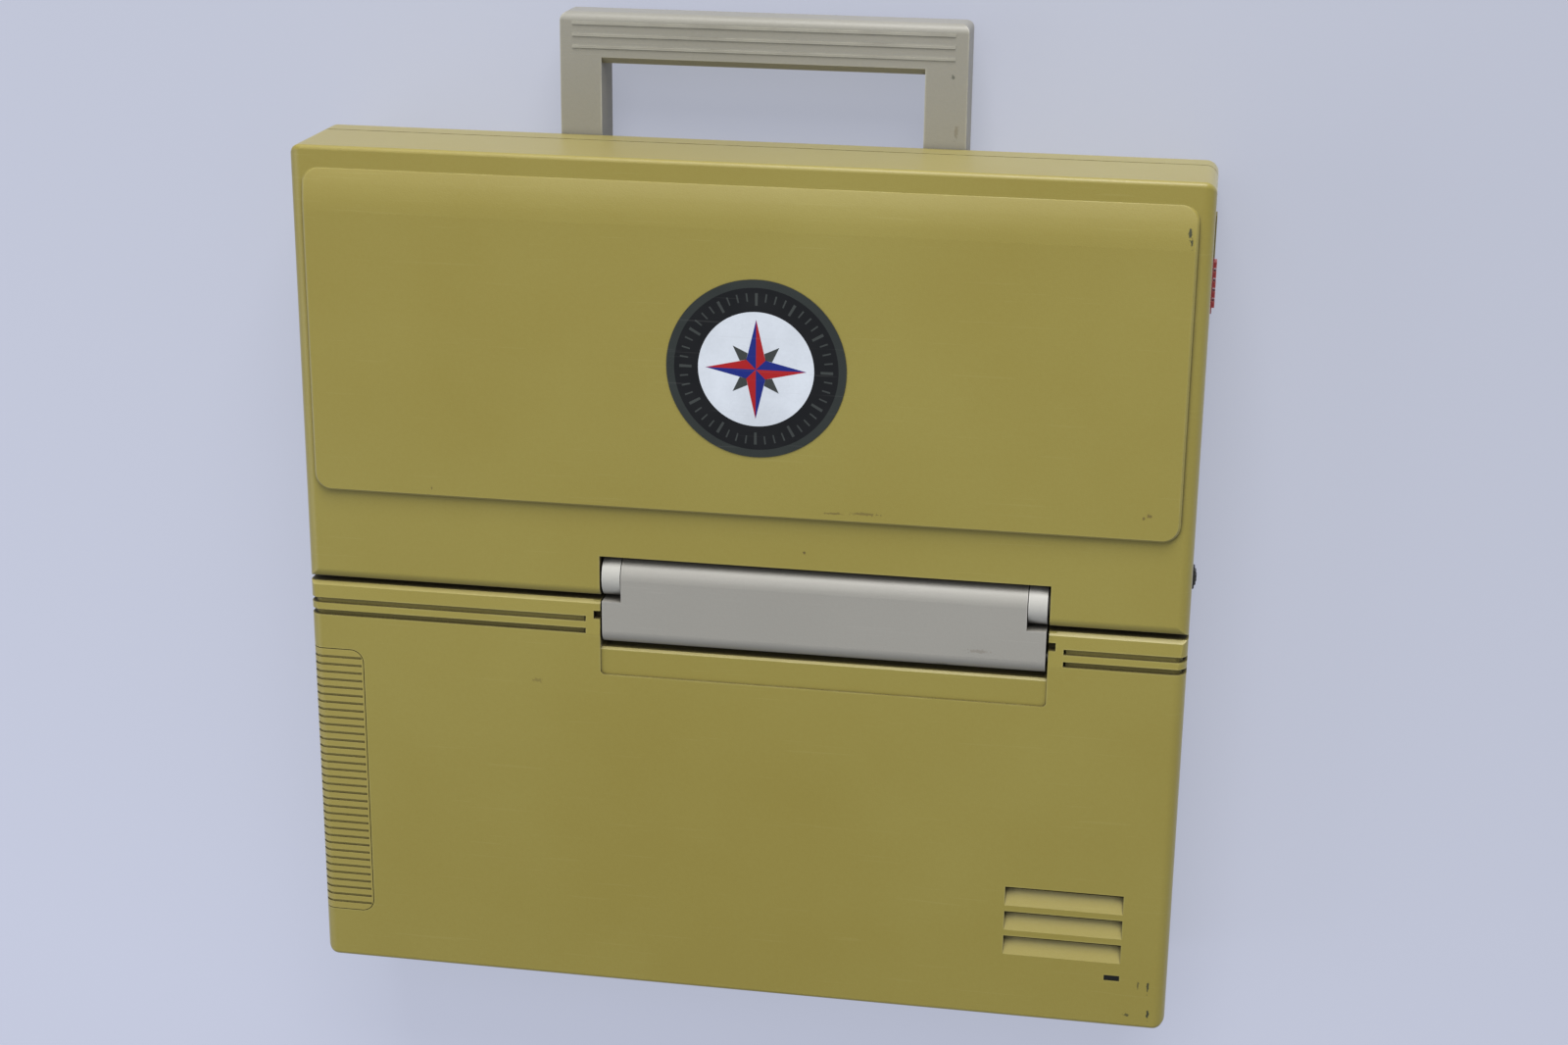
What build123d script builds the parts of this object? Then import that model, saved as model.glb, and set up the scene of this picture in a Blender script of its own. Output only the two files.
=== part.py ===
from build123d import *
import math
import os

os.makedirs("parts", exist_ok=True)

# The machine lies flat: X to the user's right, Y to the rear, Z up. All sizes are in millimetres.

# Overall sizes
body_width = 311.0
body_depth = 305.0
body_height = 67.0
handle_reach = 42.0
side_stand_out = 2.3
foot_height = 2.0
rear_foot_height = 1.5

# Walls, radii and clearances
case_wall = 2.5
edge_radius = 4.2
front_edge_radius = 1.5
seam_radius = 3.6
bottom_radius = 2.0
deck_front_chamfer = 1.2
moving_gap = 0.3
fixed_gap = 0.15
pin_clearance = 0.05

# Levels
parting_z = 24.0
keyboard_deck_z = 33.0
lid_gap = 0.8
deck_drop = 2.0
panel_rise = 2.2

# Plan
front_slope = 8.0
lid_depth = 155.2
lid_to_deck = 1.6

# Worked out from the sizes above
side_x = body_width / 2
front_y = handle_reach - (handle_reach + body_depth + rear_foot_height) / 2
rear_y = front_y + body_depth
floor_z = foot_height
floor_top_z = floor_z + case_wall
lid_face_z = body_height - panel_rise
deck_z = body_height - deck_drop
lid_bottom_z = keyboard_deck_z + lid_gap
lid_rear_y = front_y + lid_depth
deck_front_y = lid_rear_y + lid_to_deck
deck_under_z = deck_z - case_wall
inner_x = side_x - case_wall

# Hinge arm, its two axes and the notch and well around it
barrel_radius = 7.5
arm_rear_radius = 5.0
axis_from_lid_rear = 6.8
arm_pitch = 19.1
barrel_stand_up = 0.5
arm_middle_x = -29.8
arm_middle_width = 141.9
knuckle_length = 6.5
knuckle_gap = 0.3
arm_shoulder_gap = 0.6
notch_side_gap = 0.9
notch_front_gap = 0.9
lid_pin_diameter = 5.0
arm_pin_diameter = 4.0
knuckle_stub = 9.0
arm_pin_end = 0.8
bracket_wall = 2.0
bracket_reach = 12.0
bracket_seat = 1.0
arm_rear_gap = 1.6
well_drop = 1.3
pedestal_gap = 1.1

axis_y = lid_rear_y - axis_from_lid_rear
axis_z = deck_z + barrel_stand_up - barrel_radius
arm_axis_y = axis_y + arm_pitch
arm_axis_z = deck_z + barrel_stand_up - arm_rear_radius
arm_half_middle = arm_middle_width / 2
arm_half = arm_half_middle + knuckle_gap + knuckle_length
notch_half = arm_half + notch_side_gap
notch_x0 = arm_middle_x - notch_half
notch_x1 = arm_middle_x + notch_half
notch_front_y = axis_y - barrel_radius - notch_front_gap
well_rear_y = arm_axis_y + arm_rear_radius + arm_rear_gap
well_floor_z = axis_z - barrel_radius - well_drop
pedestal_front_y = notch_front_y + pedestal_gap

# Pocket, grooves, louvres and window in the deck
pocket_length = 10.1
pocket_depth = 0.9
pocket_corner = 1.5
pocket_lip = 0.8
groove_width = 2.0
groove_depth = 1.6
band_drop = 0.9
groove_first = 5.9
groove_pitch = 4.4
groove_from_well = 5.2
side_notch_length = 3.0
side_notch_width = 2.9
side_notch_from_front = 3.8
side_notch_depth = 4.0
louvre_count = 3
louvre_pitch = 9.6
louvre_length = 7.3
louvre_width = 41.7
louvre_from_side = 37.5
louvre_to_rear = 24.9
louvre_slot = 1.6
louvre_depth = 2.6
window_length = 2.1
window_width = 5.5
window_from_side = 19.4
window_from_louvres = 4.8

louvre_end_y = rear_y - louvre_to_rear
louvre_y = louvre_end_y - (louvre_count - 1) * louvre_pitch - louvre_length
louvre_x = -side_x + louvre_from_side
window_x = -side_x + window_from_side
window_y = louvre_end_y + window_from_louvres

# Battery, its tray and its ribbed cover
cover_reach = 19.0
cover_from_deck = 25.3
cover_to_rear = 19.5
cover_height = 27.0
cover_wall = 2.0
cover_corner = 4.5
cover_rib_count = 34
cover_rib_margin = 1.0
cover_rib_slot = 0.9
cover_rib_depth = 0.5
cover_rib_from_edge = 0.6
cover_tongue_reach = 6.0
cover_tongue_wall = 1.6
cover_tongue_width = 14.0
cover_tongue_from_end = 22.0
battery_length = 86.0
battery_side_room = 4.7
battery_height = 22.0
battery_corner = 3.0
tray_wall = 2.0
tray_lip_gap = 0.3

cover_y0 = deck_front_y + cover_from_deck
cover_y1 = rear_y - cover_to_rear
cover_inner_x = side_x - cover_reach
cover_bottom_z = deck_z - cover_height
cover_rib_pitch = (cover_y1 - cover_y0 - 2 * cover_rib_margin - cover_rib_slot) / cover_rib_count
battery_width = cover_y1 - cover_y0 - 2 * battery_side_room
cover_middle_y = (cover_y0 + cover_y1) / 2
battery_top_z = deck_under_z - cover_tongue_wall - 2 * moving_gap - 0.2
battery_bottom_z = battery_top_z - battery_height
battery_x1 = side_x - cover_wall - 3.7
battery_x0 = battery_x1 - battery_length

# Carrying handle and its rails
handle_half = 70.5
handle_leg = 14.5
handle_bar = 17.4
handle_height = 16.0
handle_top_z = 23.5
handle_tail = 20.0
handle_round = 3.0
handle_bevel = 2.2
handle_rib_count = 3
handle_rib_pitch = 4.0
handle_rib_width = 0.9
handle_rib_height = 0.4
handle_rib_inset = 4.5
handle_rib_first = 3.7
rail_wall = 1.5
rail_length = 66.0
recess_wall = 2.0

handle_bottom_z = handle_top_z - handle_height
bar_front_y = front_y - handle_reach
bar_rear_y = bar_front_y + handle_bar
handle_inner = handle_half - handle_leg

# Keyboard
keyboard_side_room = 12.125
keyboard_rear_room = 24.2
key_gap = 1.4
key_top_inset = 2.4
key_height = 8.4
key_top_z = 40.4
key_stem_diameter = 4.0
key_stem_clearance = 0.25
key_corner = 1.6
keyboard_units = 15.5
keyboard_from_front = 20.0
keyboard_margin = 1.0
key_travel = 3.2
plate_wall = 1.5
plate_rim_width = 2.0
plate_rim_gap = 0.2
space_units = 7.0
row_function = [1.5] + [1.0] * 14
row_number = [1.0] * 13 + [1.5, 1.0]
row_upper = [1.5] + [1.0] * 14
row_home = [1.75] + [1.0] * 11 + [1.75, 1.0]
row_lower = [2.25] + [1.0] * 10 + [1.25, 1.0, 1.0]
bottom_left = [1.5, 1.25]
bottom_right = [1.25, 1.5, 1.0, 1.0, 1.0]
row_count = 6

keyboard_half = side_x - keyboard_side_room
key_unit = 2 * keyboard_half / keyboard_units
row_pitch = (lid_depth - keyboard_from_front - keyboard_rear_room) / row_count
keyboard_y0 = front_y + keyboard_from_front
keyboard_y1 = keyboard_y0 + row_count * row_pitch
key_bottom_z = key_top_z - key_height
plate_top_z = key_bottom_z - key_travel - moving_gap
plate_bottom_z = plate_top_z - plate_wall
opening_half = keyboard_half + keyboard_margin
plate_half = opening_half + plate_rim_width

# Screen and lid
key_to_bezel = 3.6
bezel_wall = 2.0
screen_side_room = 37.5
screen_rear_room = 35.2
screen_from_front = 20.0
glass_wall = 1.8
glass_margin = 3.0
screen_frame_border = 6.0
screen_board_to_lid = 3.0
screen_board_wall = 1.6
board_gap = 0.3
rear_rim_lift = 1.8
panel_inset = 5.0
panel_from_front = 6.9
panel_to_lid_rear = 33.9
panel_corner = 6.0
panel_curve = 15.0
panel_soft = 0.7
sticker_diameter = 61.5
sticker_thickness = 0.3
sticker_x = -6.6
sticker_from_front = 69.0
lid_boss_diameter = 7.0
screw_diameter = 3.0
screw_head_diameter = 5.6
screw_head_height = 1.8
lid_screw_length = 10.0
lid_boss_inset = 8.0
lid_boss_front = 44.0
lid_boss_rear = 27.2

screen_y0 = front_y + screen_from_front
screen_y1 = lid_rear_y - screen_rear_room
screen_width = body_width - 2 * screen_side_room
bezel_z = key_top_z + key_to_bezel
screen_middle_y = (screen_y0 + screen_y1) / 2
bezel_top_z = bezel_z + bezel_wall
lid_under_z = lid_face_z - case_wall
lid_boss_places = [
    (-inner_x + lid_boss_inset, front_y + lid_boss_front),
    (inner_x - lid_boss_inset, front_y + lid_boss_front),
    (-inner_x + lid_boss_inset, lid_rear_y - lid_boss_rear),
    (inner_x - lid_boss_inset, lid_rear_y - lid_boss_rear),
]

# Lid latches
latch_from_front = 14.0
latch_length = 14.0
latch_height = 7.0
latch_z = 40.0
latch_stand_out = 0.5
latch_recess = 1.0
latch_neck = 8.0
latch_wall = 2.1
latch_hook_z = 28.6
latch_hook_length = 5.0
latch_travel = 5.0

# Diskette drives
drive_width = 96.0
drive_length = 145.0
drive_height = 18.6
drive_from_front = 63.0
drive_bezel_wall = 5.0
drive_slot_width = 92.0
drive_slot_height = 4.6
drive_slot_depth = 88.0
drive_slot_z = 15.0
eject_width = 12.0
eject_height = 5.0
eject_z = 9.0
eject_from_edge = 8.0
eject_travel = 4.0
drive_thumb = 22.0
drive_thumb_depth = 2.5
eject_stem = 6.0
drive_names = ["front", "rear"]

drive_z0 = floor_top_z + fixed_gap
drive_z1 = drive_z0 + drive_height
drive_x1 = side_x - drive_bezel_wall
drive_x0 = drive_x1 - drive_length

# Switch and contrast wheel on the left side
switch_from_front = 31.0
switch_length = 20.0
switch_height = 4.6
switch_z = 28.0
switch_neck_length = 10.0
switch_neck_height = 2.6
switch_travel = 5.0
switch_rib_count = 5
switch_rib_pitch = 3.4
switch_rib_length = 2.2
switch_rib_height = 0.9
switch_stand_out = 1.4
switch_body_depth = 6.0
wheel_diameter = 18.0
wheel_thickness = 3.0
wheel_stand_out = 1.4
wheel_from_lid_rear = 9.2
wheel_z = 26.6
wheel_axle = 3.0
wheel_teeth = 36
wheel_tooth_depth = 0.4

# Boards, connectors and fasteners
board_z = 7.0
board_wall = 1.6
board_from_side = 5.5
board_from_drive = 17.5
board_from_front = 66.0
board_to_rear = 23.0
chip_columns = 3
chip_rows = 5
chip_pitch = 36.0
chip_first = 34.0
chip_width = 14.0
chip_length = 26.0
chip_height = 4.0
power_board_from_well = 4.0
power_board_from_side = 19.5
power_board_from_deck = 4.0
power_board_depth = 20.0
power_part_diameter = 10.0
power_part_height = 15.0
power_part_pitch = 14.0
power_part_count = 3
coil_length = 20.0
coil_width = 14.0
board_post_inset = 7.0
boss_diameter = 7.0
boss_bore = 3.4
case_screw_length = 16.0
head_recess = 3.0
foot_diameter = 14.0
foot_seat = 0.8
foot_inset_x = 20.0
foot_inset_front = 26.0
foot_inset_rear = 18.0
rear_foot_length = 40.0
rear_foot_width = 8.0
rear_foot_seat = 0.8
rear_foot_from_side = 37.5
speaker_diameter = 44.0
speaker_height = 9.0
vent_count = 9
vent_pitch = 6.0
vent_length = 34.0
vent_width = 2.2
vent_from_board_side = 20.0
pad_length = 12.0
pad_width = 1.8
pad_height = 0.5
pad_inner_x = 60.0
pad_outer_x = 110.0

boss_inset_front = 12.5
boss_side_front = 15.5
boss_side_middle = 25.5
boss_from_lid_rear = 5.2
boss_before_pedestal = 2.6
boss_from_drive = 10.5
boss_side_rear = 9.5
boss_inset_rear = 11.0
rear_foot_bottom_z = 27.0

board_x0 = -side_x + board_from_side
board_x1 = drive_x0 - board_from_drive
board_length = body_depth - board_from_front - board_to_rear
power_board_x0 = notch_x1 + case_wall + power_board_from_well
power_board_x1 = side_x - power_board_from_side
power_board_y0 = deck_front_y + power_board_from_deck
power_board_z = drive_z1 + moving_gap
case_boss_places = [
    (-side_x + boss_side_front, front_y + boss_inset_front),
    (side_x - boss_side_front, front_y + boss_inset_front),
    (-side_x + boss_side_middle, lid_rear_y - boss_from_lid_rear),
    (drive_x0 - boss_from_drive, pedestal_front_y - boss_before_pedestal),
    (-side_x + boss_side_rear, rear_y - boss_inset_rear),
    (side_x - boss_side_rear, rear_y - boss_inset_rear),
]

# Rear connectors as name, middle, width, height
connector_z = 14.0
connector_face_inset = 0.5
connector_depth = 11.0
connector_gap = 0.2
printer_width = 53.0
serial_width = 31.0
connector_height = 12.0
expansion_width = 74.0
power_jack_size = 11.0
printer_x = 60.0
serial_x = 8.0
expansion_x = -58.0
power_jack_from_side = 35.5

power_jack_x = side_x - power_jack_from_side
rear_foot_x = side_x - rear_foot_from_side


def block(x0, x1, y0, y1, z0, z1):
    """A box between two corners."""
    middle = Pos((x0 + x1) / 2, (y0 + y1) / 2, (z0 + z1) / 2)
    return middle * Box(x1 - x0, y1 - y0, z1 - z0)


def rod_x(diameter, x0, x1, y, z):
    """A round bar along X."""
    return Pos((x0 + x1) / 2, y, z) * Rot(0, 90, 0) * Cylinder(diameter / 2, x1 - x0)


def rod_z(diameter, x, y, z0, z1):
    """A round bar along Z."""
    return Pos(x, y, (z0 + z1) / 2) * Cylinder(diameter / 2, z1 - z0)


def prism_x(points, x0, x1):
    """A solid whose outline is (y, z) points, running from x0 to x1."""
    outline = make_face(Plane.YZ * Polyline(*points, close=True))
    return Pos(x0, 0, 0) * extrude(outline, amount=x1 - x0, dir=(1, 0, 0))


def joined(pieces):
    """One shape from a list of pieces that touch."""
    shape = pieces[0]
    for piece in pieces[1:]:
        shape = shape + piece
    return shape


def save(name, shape):
    """One STEP file for one node."""
    export_step(shape, os.path.join("parts", name + ".step"))


def save_group(name, pieces):
    """One STEP file for a node that is a group of separate solids."""
    save(name, Compound(children=pieces))


def deck_body():
    """The outside of the top case: low in front under the lid, high at the rear deck."""
    outline = [
        (front_y, parting_z),
        (front_y, keyboard_deck_z),
        (deck_front_y, keyboard_deck_z),
        (deck_front_y, deck_z),
        (rear_y, deck_z),
        (rear_y, parting_z),
    ]
    body = prism_x(outline, -side_x, side_x)
    uprights = body.edges().filter_by(Axis.Z).filter_by(lambda e: abs(e.center().Y - deck_front_y) > 1)
    top_face = body.faces().sort_by(Axis.Z)[-1]
    body = fillet(uprights + top_face.edges().filter_by(Axis.Y), edge_radius)
    rear_edge = body.edges().filter_by(Axis.X).group_by(Axis.Z)[-1].sort_by(Axis.Y)[-1]
    body = fillet(rear_edge, front_edge_radius)
    band_rear_y = deck_front_y + groove_first + groove_pitch + groove_width
    band_front_z = deck_z - band_drop
    slope = [
        (deck_front_y - 1, band_front_z - band_drop / (band_rear_y - deck_front_y)),
        (band_rear_y, deck_z),
        (band_rear_y, deck_z + 1),
        (deck_front_y - 1, deck_z + 1),
    ]
    body -= prism_x(slope, -side_x - 1, side_x + 1)
    front_top = body.edges().filter_by(Axis.X).filter_by(
        lambda e: abs(e.center().Y - deck_front_y) < 0.1 and abs(e.center().Z - band_front_z) < 0.1
    )
    return chamfer(front_top, deck_front_chamfer)


def deck_core(depth, y0, y1):
    """The deck's section drawn in by a depth, for slots and skins that follow it."""
    core = block(-side_x + depth, side_x - depth, y0 - 1, y1 + 1, parting_z - 1, deck_z - depth)
    crown = core.edges().filter_by(Axis.Y).group_by(Axis.Z)[-1]
    return fillet(crown, edge_radius - depth)


def skin_slot(x0, x1, y0, y1, z0, depth):
    """A slot that follows the deck's top and side skin."""
    return block(x0, x1, y0, y1, z0, deck_z + 1) - deck_core(depth, y0, y1)


def cover_region(gap):
    """The space of the ribbed cover, grown by a gap."""
    region = block(
        cover_inner_x - gap, side_x + 1, cover_y0 - gap, cover_y1 + gap, cover_bottom_z - gap, deck_z + 1
    )
    inner = region.edges().filter_by(Axis.Z).group_by(Axis.X)[0]
    return fillet(inner, cover_corner + gap)


def make_top_case(body):
    """Keyboard surround and rear deck in one moulding."""
    hollow = [
        (front_y + case_wall, parting_z - 1),
        (front_y + case_wall, keyboard_deck_z - case_wall),
        (deck_front_y + case_wall, keyboard_deck_z - case_wall),
        (deck_front_y + case_wall, deck_under_z),
        (rear_y - case_wall, deck_under_z),
        (rear_y - case_wall, parting_z - 1),
    ]
    case = body - prism_x(hollow, -inner_x, inner_x)

    # Hinge pedestal, well and the shallow pocket behind it
    liner_x0 = notch_x0 - case_wall
    liner_x1 = notch_x1 + case_wall
    pocket_rear_y = well_rear_y + pocket_length
    pocket_floor_z = deck_z - pocket_depth
    under_deck_z = keyboard_deck_z - case_wall
    case += block(
        notch_x0 + moving_gap, notch_x1 - moving_gap, pedestal_front_y, deck_front_y + case_wall, under_deck_z,
        well_floor_z,
    )
    case += block(
        liner_x0, liner_x1, deck_front_y, well_rear_y + case_wall, well_floor_z - case_wall, deck_under_z + 1
    )
    case += block(
        liner_x0, liner_x1, well_rear_y, pocket_rear_y + case_wall, pocket_floor_z - case_wall, deck_under_z + 1
    )
    case -= block(notch_x0, notch_x1, deck_front_y - 5, well_rear_y, well_floor_z, deck_z + 1)
    case -= block(
        notch_x0 + moving_gap + case_wall, notch_x1 - moving_gap - case_wall, pedestal_front_y + case_wall,
        deck_front_y + case_wall + 1, parting_z - 1, well_floor_z - case_wall,
    )
    pocket = block(notch_x0, notch_x1, well_rear_y - 1, pocket_rear_y, pocket_floor_z, deck_z + 1)
    case -= fillet(pocket.edges().filter_by(Axis.Z).group_by(Axis.Y)[-1], pocket_corner)
    lip = [
        (well_rear_y - 1, pocket_floor_z - pocket_lip - 1),
        (well_rear_y + pocket_lip, pocket_floor_z),
        (well_rear_y - 1, pocket_floor_z),
    ]
    case -= prism_x(lip, notch_x0, notch_x1)
    pin_hole = arm_pin_diameter + 4 * moving_gap
    case -= rod_x(pin_hole, notch_x0 - case_wall - 1, notch_x1 + case_wall + 1, arm_axis_y, arm_axis_z)
    seat_width = bracket_wall + arm_pin_end + 2 * moving_gap
    for x0 in (notch_x1 + case_wall, notch_x0 - case_wall - seat_width):
        case -= block(
            x0, x0 + seat_width, deck_front_y + case_wall, arm_axis_y + bracket_reach + moving_gap,
            deck_under_z - 1, deck_under_z + bracket_seat,
        )
    side_notch_y = deck_front_y + side_notch_from_front
    for x0 in (notch_x1 - 0.5, notch_x0 - side_notch_width + 0.5):
        case -= block(
            x0, x0 + side_notch_width, side_notch_y, side_notch_y + side_notch_length,
            deck_z - side_notch_depth, deck_z + 1,
        )

    # Grooves that run from the hinge round both sides
    for number in range(2):
        y0 = deck_front_y + groove_first + number * groove_pitch
        y1 = y0 + groove_width
        case -= skin_slot(notch_x1 + groove_from_well, side_x + 1, y0, y1, keyboard_deck_z, groove_depth)
        case -= skin_slot(-side_x - 1, notch_x0 - groove_from_well, y0, y1, keyboard_deck_z, groove_depth)

    # Louvres over the speaker, each a slope with a slot at its front
    louvre_x0 = louvre_x - louvre_width / 2
    louvre_x1 = louvre_x + louvre_width / 2
    case += block(
        louvre_x0 - case_wall, louvre_x1 + case_wall, louvre_y - case_wall, louvre_end_y + case_wall,
        deck_z - louvre_depth - case_wall, deck_under_z + 1,
    )
    for number in range(louvre_count):
        y0 = louvre_y + number * louvre_pitch
        slope = [
            (y0, deck_z - louvre_depth),
            (y0 + louvre_slot, deck_z - louvre_depth),
            (y0 + louvre_length, deck_z),
            (y0 + louvre_length, deck_z + 1),
            (y0, deck_z + 1),
        ]
        case -= prism_x(slope, louvre_x0, louvre_x1)
        case -= block(
            louvre_x0, louvre_x1, y0, y0 + louvre_slot, deck_z - louvre_depth - case_wall - 1, deck_z
        )
    window_x0 = window_x - window_width / 2
    case -= block(window_x0, window_x0 + window_width, window_y, window_y + window_length, 0, deck_z + 1)

    # Keyboard opening, latch slots, side slots and the cover's opening
    case -= block(
        -opening_half, opening_half, keyboard_y0 - keyboard_margin, keyboard_y1 + keyboard_margin,
        under_deck_z - 1, keyboard_deck_z + 1,
    )
    slot_y0 = front_y + latch_from_front - 2.5
    slot_y1 = front_y + latch_from_front + latch_hook_length + latch_travel + 2.5
    for side in (-1, 1):
        x_out = side * (inner_x + 0.1)
        x_in = side * (inner_x - latch_wall - 1.2)
        case -= block(
            min(x_in, x_out), max(x_in, x_out), slot_y0, slot_y1, under_deck_z - 1, keyboard_deck_z + 1
        )
    switch_y0 = front_y + switch_from_front + (switch_length - switch_neck_length) / 2 - moving_gap
    case -= block(
        -side_x - 1, -inner_x + 1, switch_y0, switch_y0 + switch_neck_length + switch_travel + 2 * moving_gap,
        switch_z - switch_neck_height / 2 - moving_gap, switch_z + switch_neck_height / 2 + moving_gap,
    )
    wheel_y = lid_rear_y - wheel_from_lid_rear
    wheel_slot = wheel_diameter / 2 - 1.0
    case -= block(
        -side_x - 1, -inner_x + 1, wheel_y - wheel_slot, wheel_y + wheel_slot,
        wheel_z - moving_gap, wheel_z + wheel_thickness + moving_gap,
    )
    case -= cover_region(moving_gap)

    # Columns that take the case screws
    for x, y in case_boss_places:
        top_z = deck_under_z + 1 if y > deck_front_y else under_deck_z + 1
        column = rod_z(boss_diameter, x, y, parting_z + fixed_gap, top_z)
        case += column
        case -= rod_z(screw_diameter + 2 * pin_clearance, x, y, parting_z - 1, parting_z + case_screw_length)
    return case


def make_bottom_case():
    """The tray that carries everything, its front wall sloped under the handle."""
    outline = [
        (front_y, parting_z),
        (front_y + front_slope, floor_z),
        (rear_y, floor_z),
        (rear_y, parting_z),
    ]
    case = prism_x(outline, -side_x, side_x)
    corners = case.edges().filter_by(lambda e: abs(abs(e.center().X) - side_x) < 0.01)
    corners = corners.filter_by(lambda e: abs(e.center().Z - (floor_z + parting_z) / 2) < 0.01)
    case = fillet(corners, edge_radius)
    case = fillet(case.faces().sort_by(Axis.Z)[0].edges(), bottom_radius)
    slope_in = front_slope * (parting_z - floor_top_z) / (parting_z - floor_z)
    hollow = [
        (front_y + case_wall, parting_z),
        (front_y + case_wall, parting_z + 1),
        (rear_y - case_wall, parting_z + 1),
        (rear_y - case_wall, floor_top_z),
        (front_y + case_wall + slope_in, floor_top_z),
    ]
    case -= prism_x(hollow, -inner_x, inner_x)

    # The recess that the handle's bar slides into
    recess_y = front_y + handle_bar + moving_gap
    case += block(
        -handle_inner + moving_gap, handle_inner - moving_gap, recess_y, recess_y + recess_wall,
        floor_z + case_wall / 2, parting_z,
    )
    mouth = handle_half + moving_gap
    case -= block(-mouth, mouth, front_y - 1, recess_y, handle_bottom_z - moving_gap, parting_z + 1)

    # Openings for the drives and the connectors
    for number in range(len(drive_names)):
        y0 = drive_y(number) - fixed_gap
        case -= block(
            inner_x - 1, side_x + 1, y0, y0 + drive_width + 2 * fixed_gap,
            drive_z0 - fixed_gap + 0.1, drive_z1 + fixed_gap,
        )
    for x, width, height in connector_places():
        gap = connector_gap
        case -= block(
            x - width / 2 - gap, x + width / 2 + gap, rear_y - case_wall - 1, rear_y + 1,
            connector_z - height / 2 - gap, connector_z + height / 2 + gap,
        )

    # Columns for the case screws and seats for the boards
    for x, y in case_boss_places:
        case += rod_z(boss_diameter, x, y, floor_top_z - 0.5, parting_z)
        case -= rod_z(boss_bore, x, y, floor_z - 1, parting_z + 1)
        case -= rod_z(screw_head_diameter + 1, x, y, floor_z - 1, floor_z + head_recess)
    for x, y in board_posts():
        case += rod_z(boss_diameter - 1, x, y, floor_top_z - 0.5, board_z)
    seat = foot_diameter + 2 * fixed_gap
    for x, y in foot_places():
        case -= rod_z(seat, x, y, floor_z - 1, floor_z + foot_seat)
    vent_x0 = board_x0 + vent_from_board_side
    for number in range(vent_count):
        y0 = front_y + body_depth / 2 + (number - vent_count // 2) * vent_pitch
        case -= block(
            vent_x0, vent_x0 + vent_length, y0, y0 + vent_width, floor_z - 1, floor_top_z + 1
        )
    return case


def drive_y(number):
    """The front side of a drive, counted from the front."""
    return front_y + drive_from_front + number * (drive_width + moving_gap)


def connector_places():
    """Middle, width and height of each rear connector."""
    return [
        (printer_x, printer_width, connector_height),
        (serial_x, serial_width, connector_height),
        (expansion_x, expansion_width, connector_height),
        (power_jack_x, power_jack_size, power_jack_size),
    ]


def board_posts():
    """Where the main board stands."""
    y0 = front_y + board_from_front + board_post_inset
    y1 = front_y + board_from_front + board_length - board_post_inset
    return [(x, y) for x in (board_x0 + board_post_inset, board_x1 - board_post_inset) for y in (y0, y1)]


def foot_places():
    """The four feet under the machine."""
    x = side_x - foot_inset_x
    return [(sx * x, y) for sx in (-1, 1) for y in (front_y + foot_inset_front, rear_y - foot_inset_rear)]


def make_handle():
    """The carrying handle pulled out: a bar with three ribs and two legs that run into the case."""
    tail_y = front_y + handle_tail
    outer = block(-handle_half, handle_half, bar_front_y, tail_y, handle_bottom_z, handle_top_z)
    front = outer.edges().group_by(Axis.Y)[0]
    outer = fillet(front, handle_round)
    gap = block(-handle_inner, handle_inner, bar_rear_y, tail_y + 1, handle_bottom_z - 1, handle_top_z + 1)
    handle = outer - gap
    rear_edges = handle.edges().filter_by(Axis.X).filter_by(lambda e: abs(e.center().Y - bar_rear_y) < 0.01)
    handle = chamfer(rear_edges, handle_bevel)
    for number in range(handle_rib_count):
        y0 = bar_front_y + handle_rib_first + number * handle_rib_pitch - handle_rib_width / 2
        handle += block(
            -handle_half + handle_rib_inset, handle_half - handle_rib_inset, y0, y0 + handle_rib_width,
            handle_top_z - 1, handle_top_z + handle_rib_height,
        )
    return handle


def make_handle_rails():
    """Two open channels on the floor of the bottom case, one for each leg of the handle."""
    rails = []
    y0 = front_y + handle_bar + recess_wall + 1.5
    for side in (-1, 1):
        x_in = side * (handle_inner - moving_gap - rail_wall)
        x_out = side * (handle_half + moving_gap + rail_wall)
        x0, x1 = min(x_in, x_out), max(x_in, x_out)
        rail = block(x0, x1, y0, front_y + rail_length - 4, floor_top_z + 0.1, handle_top_z)
        rail -= block(
            x0 + rail_wall, x1 - rail_wall, y0 - 1, front_y + rail_length, handle_bottom_z - moving_gap,
            handle_top_z + 1,
        )
        rails.append(rail)
    return rails


def make_hinge_arm():
    """The light grey link between the lid and the deck: two barrels in one body."""
    top_z = axis_z + barrel_radius
    outline = [
        (axis_y, top_z),
        (arm_axis_y, top_z),
        (arm_axis_y, arm_axis_z - arm_rear_radius),
        (axis_y, axis_z - barrel_radius),
    ]
    middle_x0 = arm_middle_x - arm_half_middle
    middle_x1 = arm_middle_x + arm_half_middle
    wide_x0 = arm_middle_x - arm_half
    wide_x1 = arm_middle_x + arm_half
    arm = prism_x(outline, wide_x0, wide_x1)
    arm += rod_x(2 * arm_rear_radius, wide_x0, wide_x1, arm_axis_y, arm_axis_z)
    arm += rod_x(2 * barrel_radius, middle_x0, middle_x1, axis_y, axis_z)
    shoulder_y = axis_y + barrel_radius + arm_shoulder_gap
    for x0, x1 in ((wide_x0 - 1, middle_x0), (middle_x1, wide_x1 + 1)):
        arm -= block(x0, x1, axis_y - barrel_radius - 1, shoulder_y, parting_z, top_z + 1)
    arm -= rod_x(lid_pin_diameter + 2 * pin_clearance, middle_x0 - 1, middle_x1 + 1, axis_y, axis_z)
    bore = arm_pin_diameter + 2 * pin_clearance
    arm -= rod_x(bore, wide_x0 - 1, wide_x1 + 1, arm_axis_y, arm_axis_z)
    return arm


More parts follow.
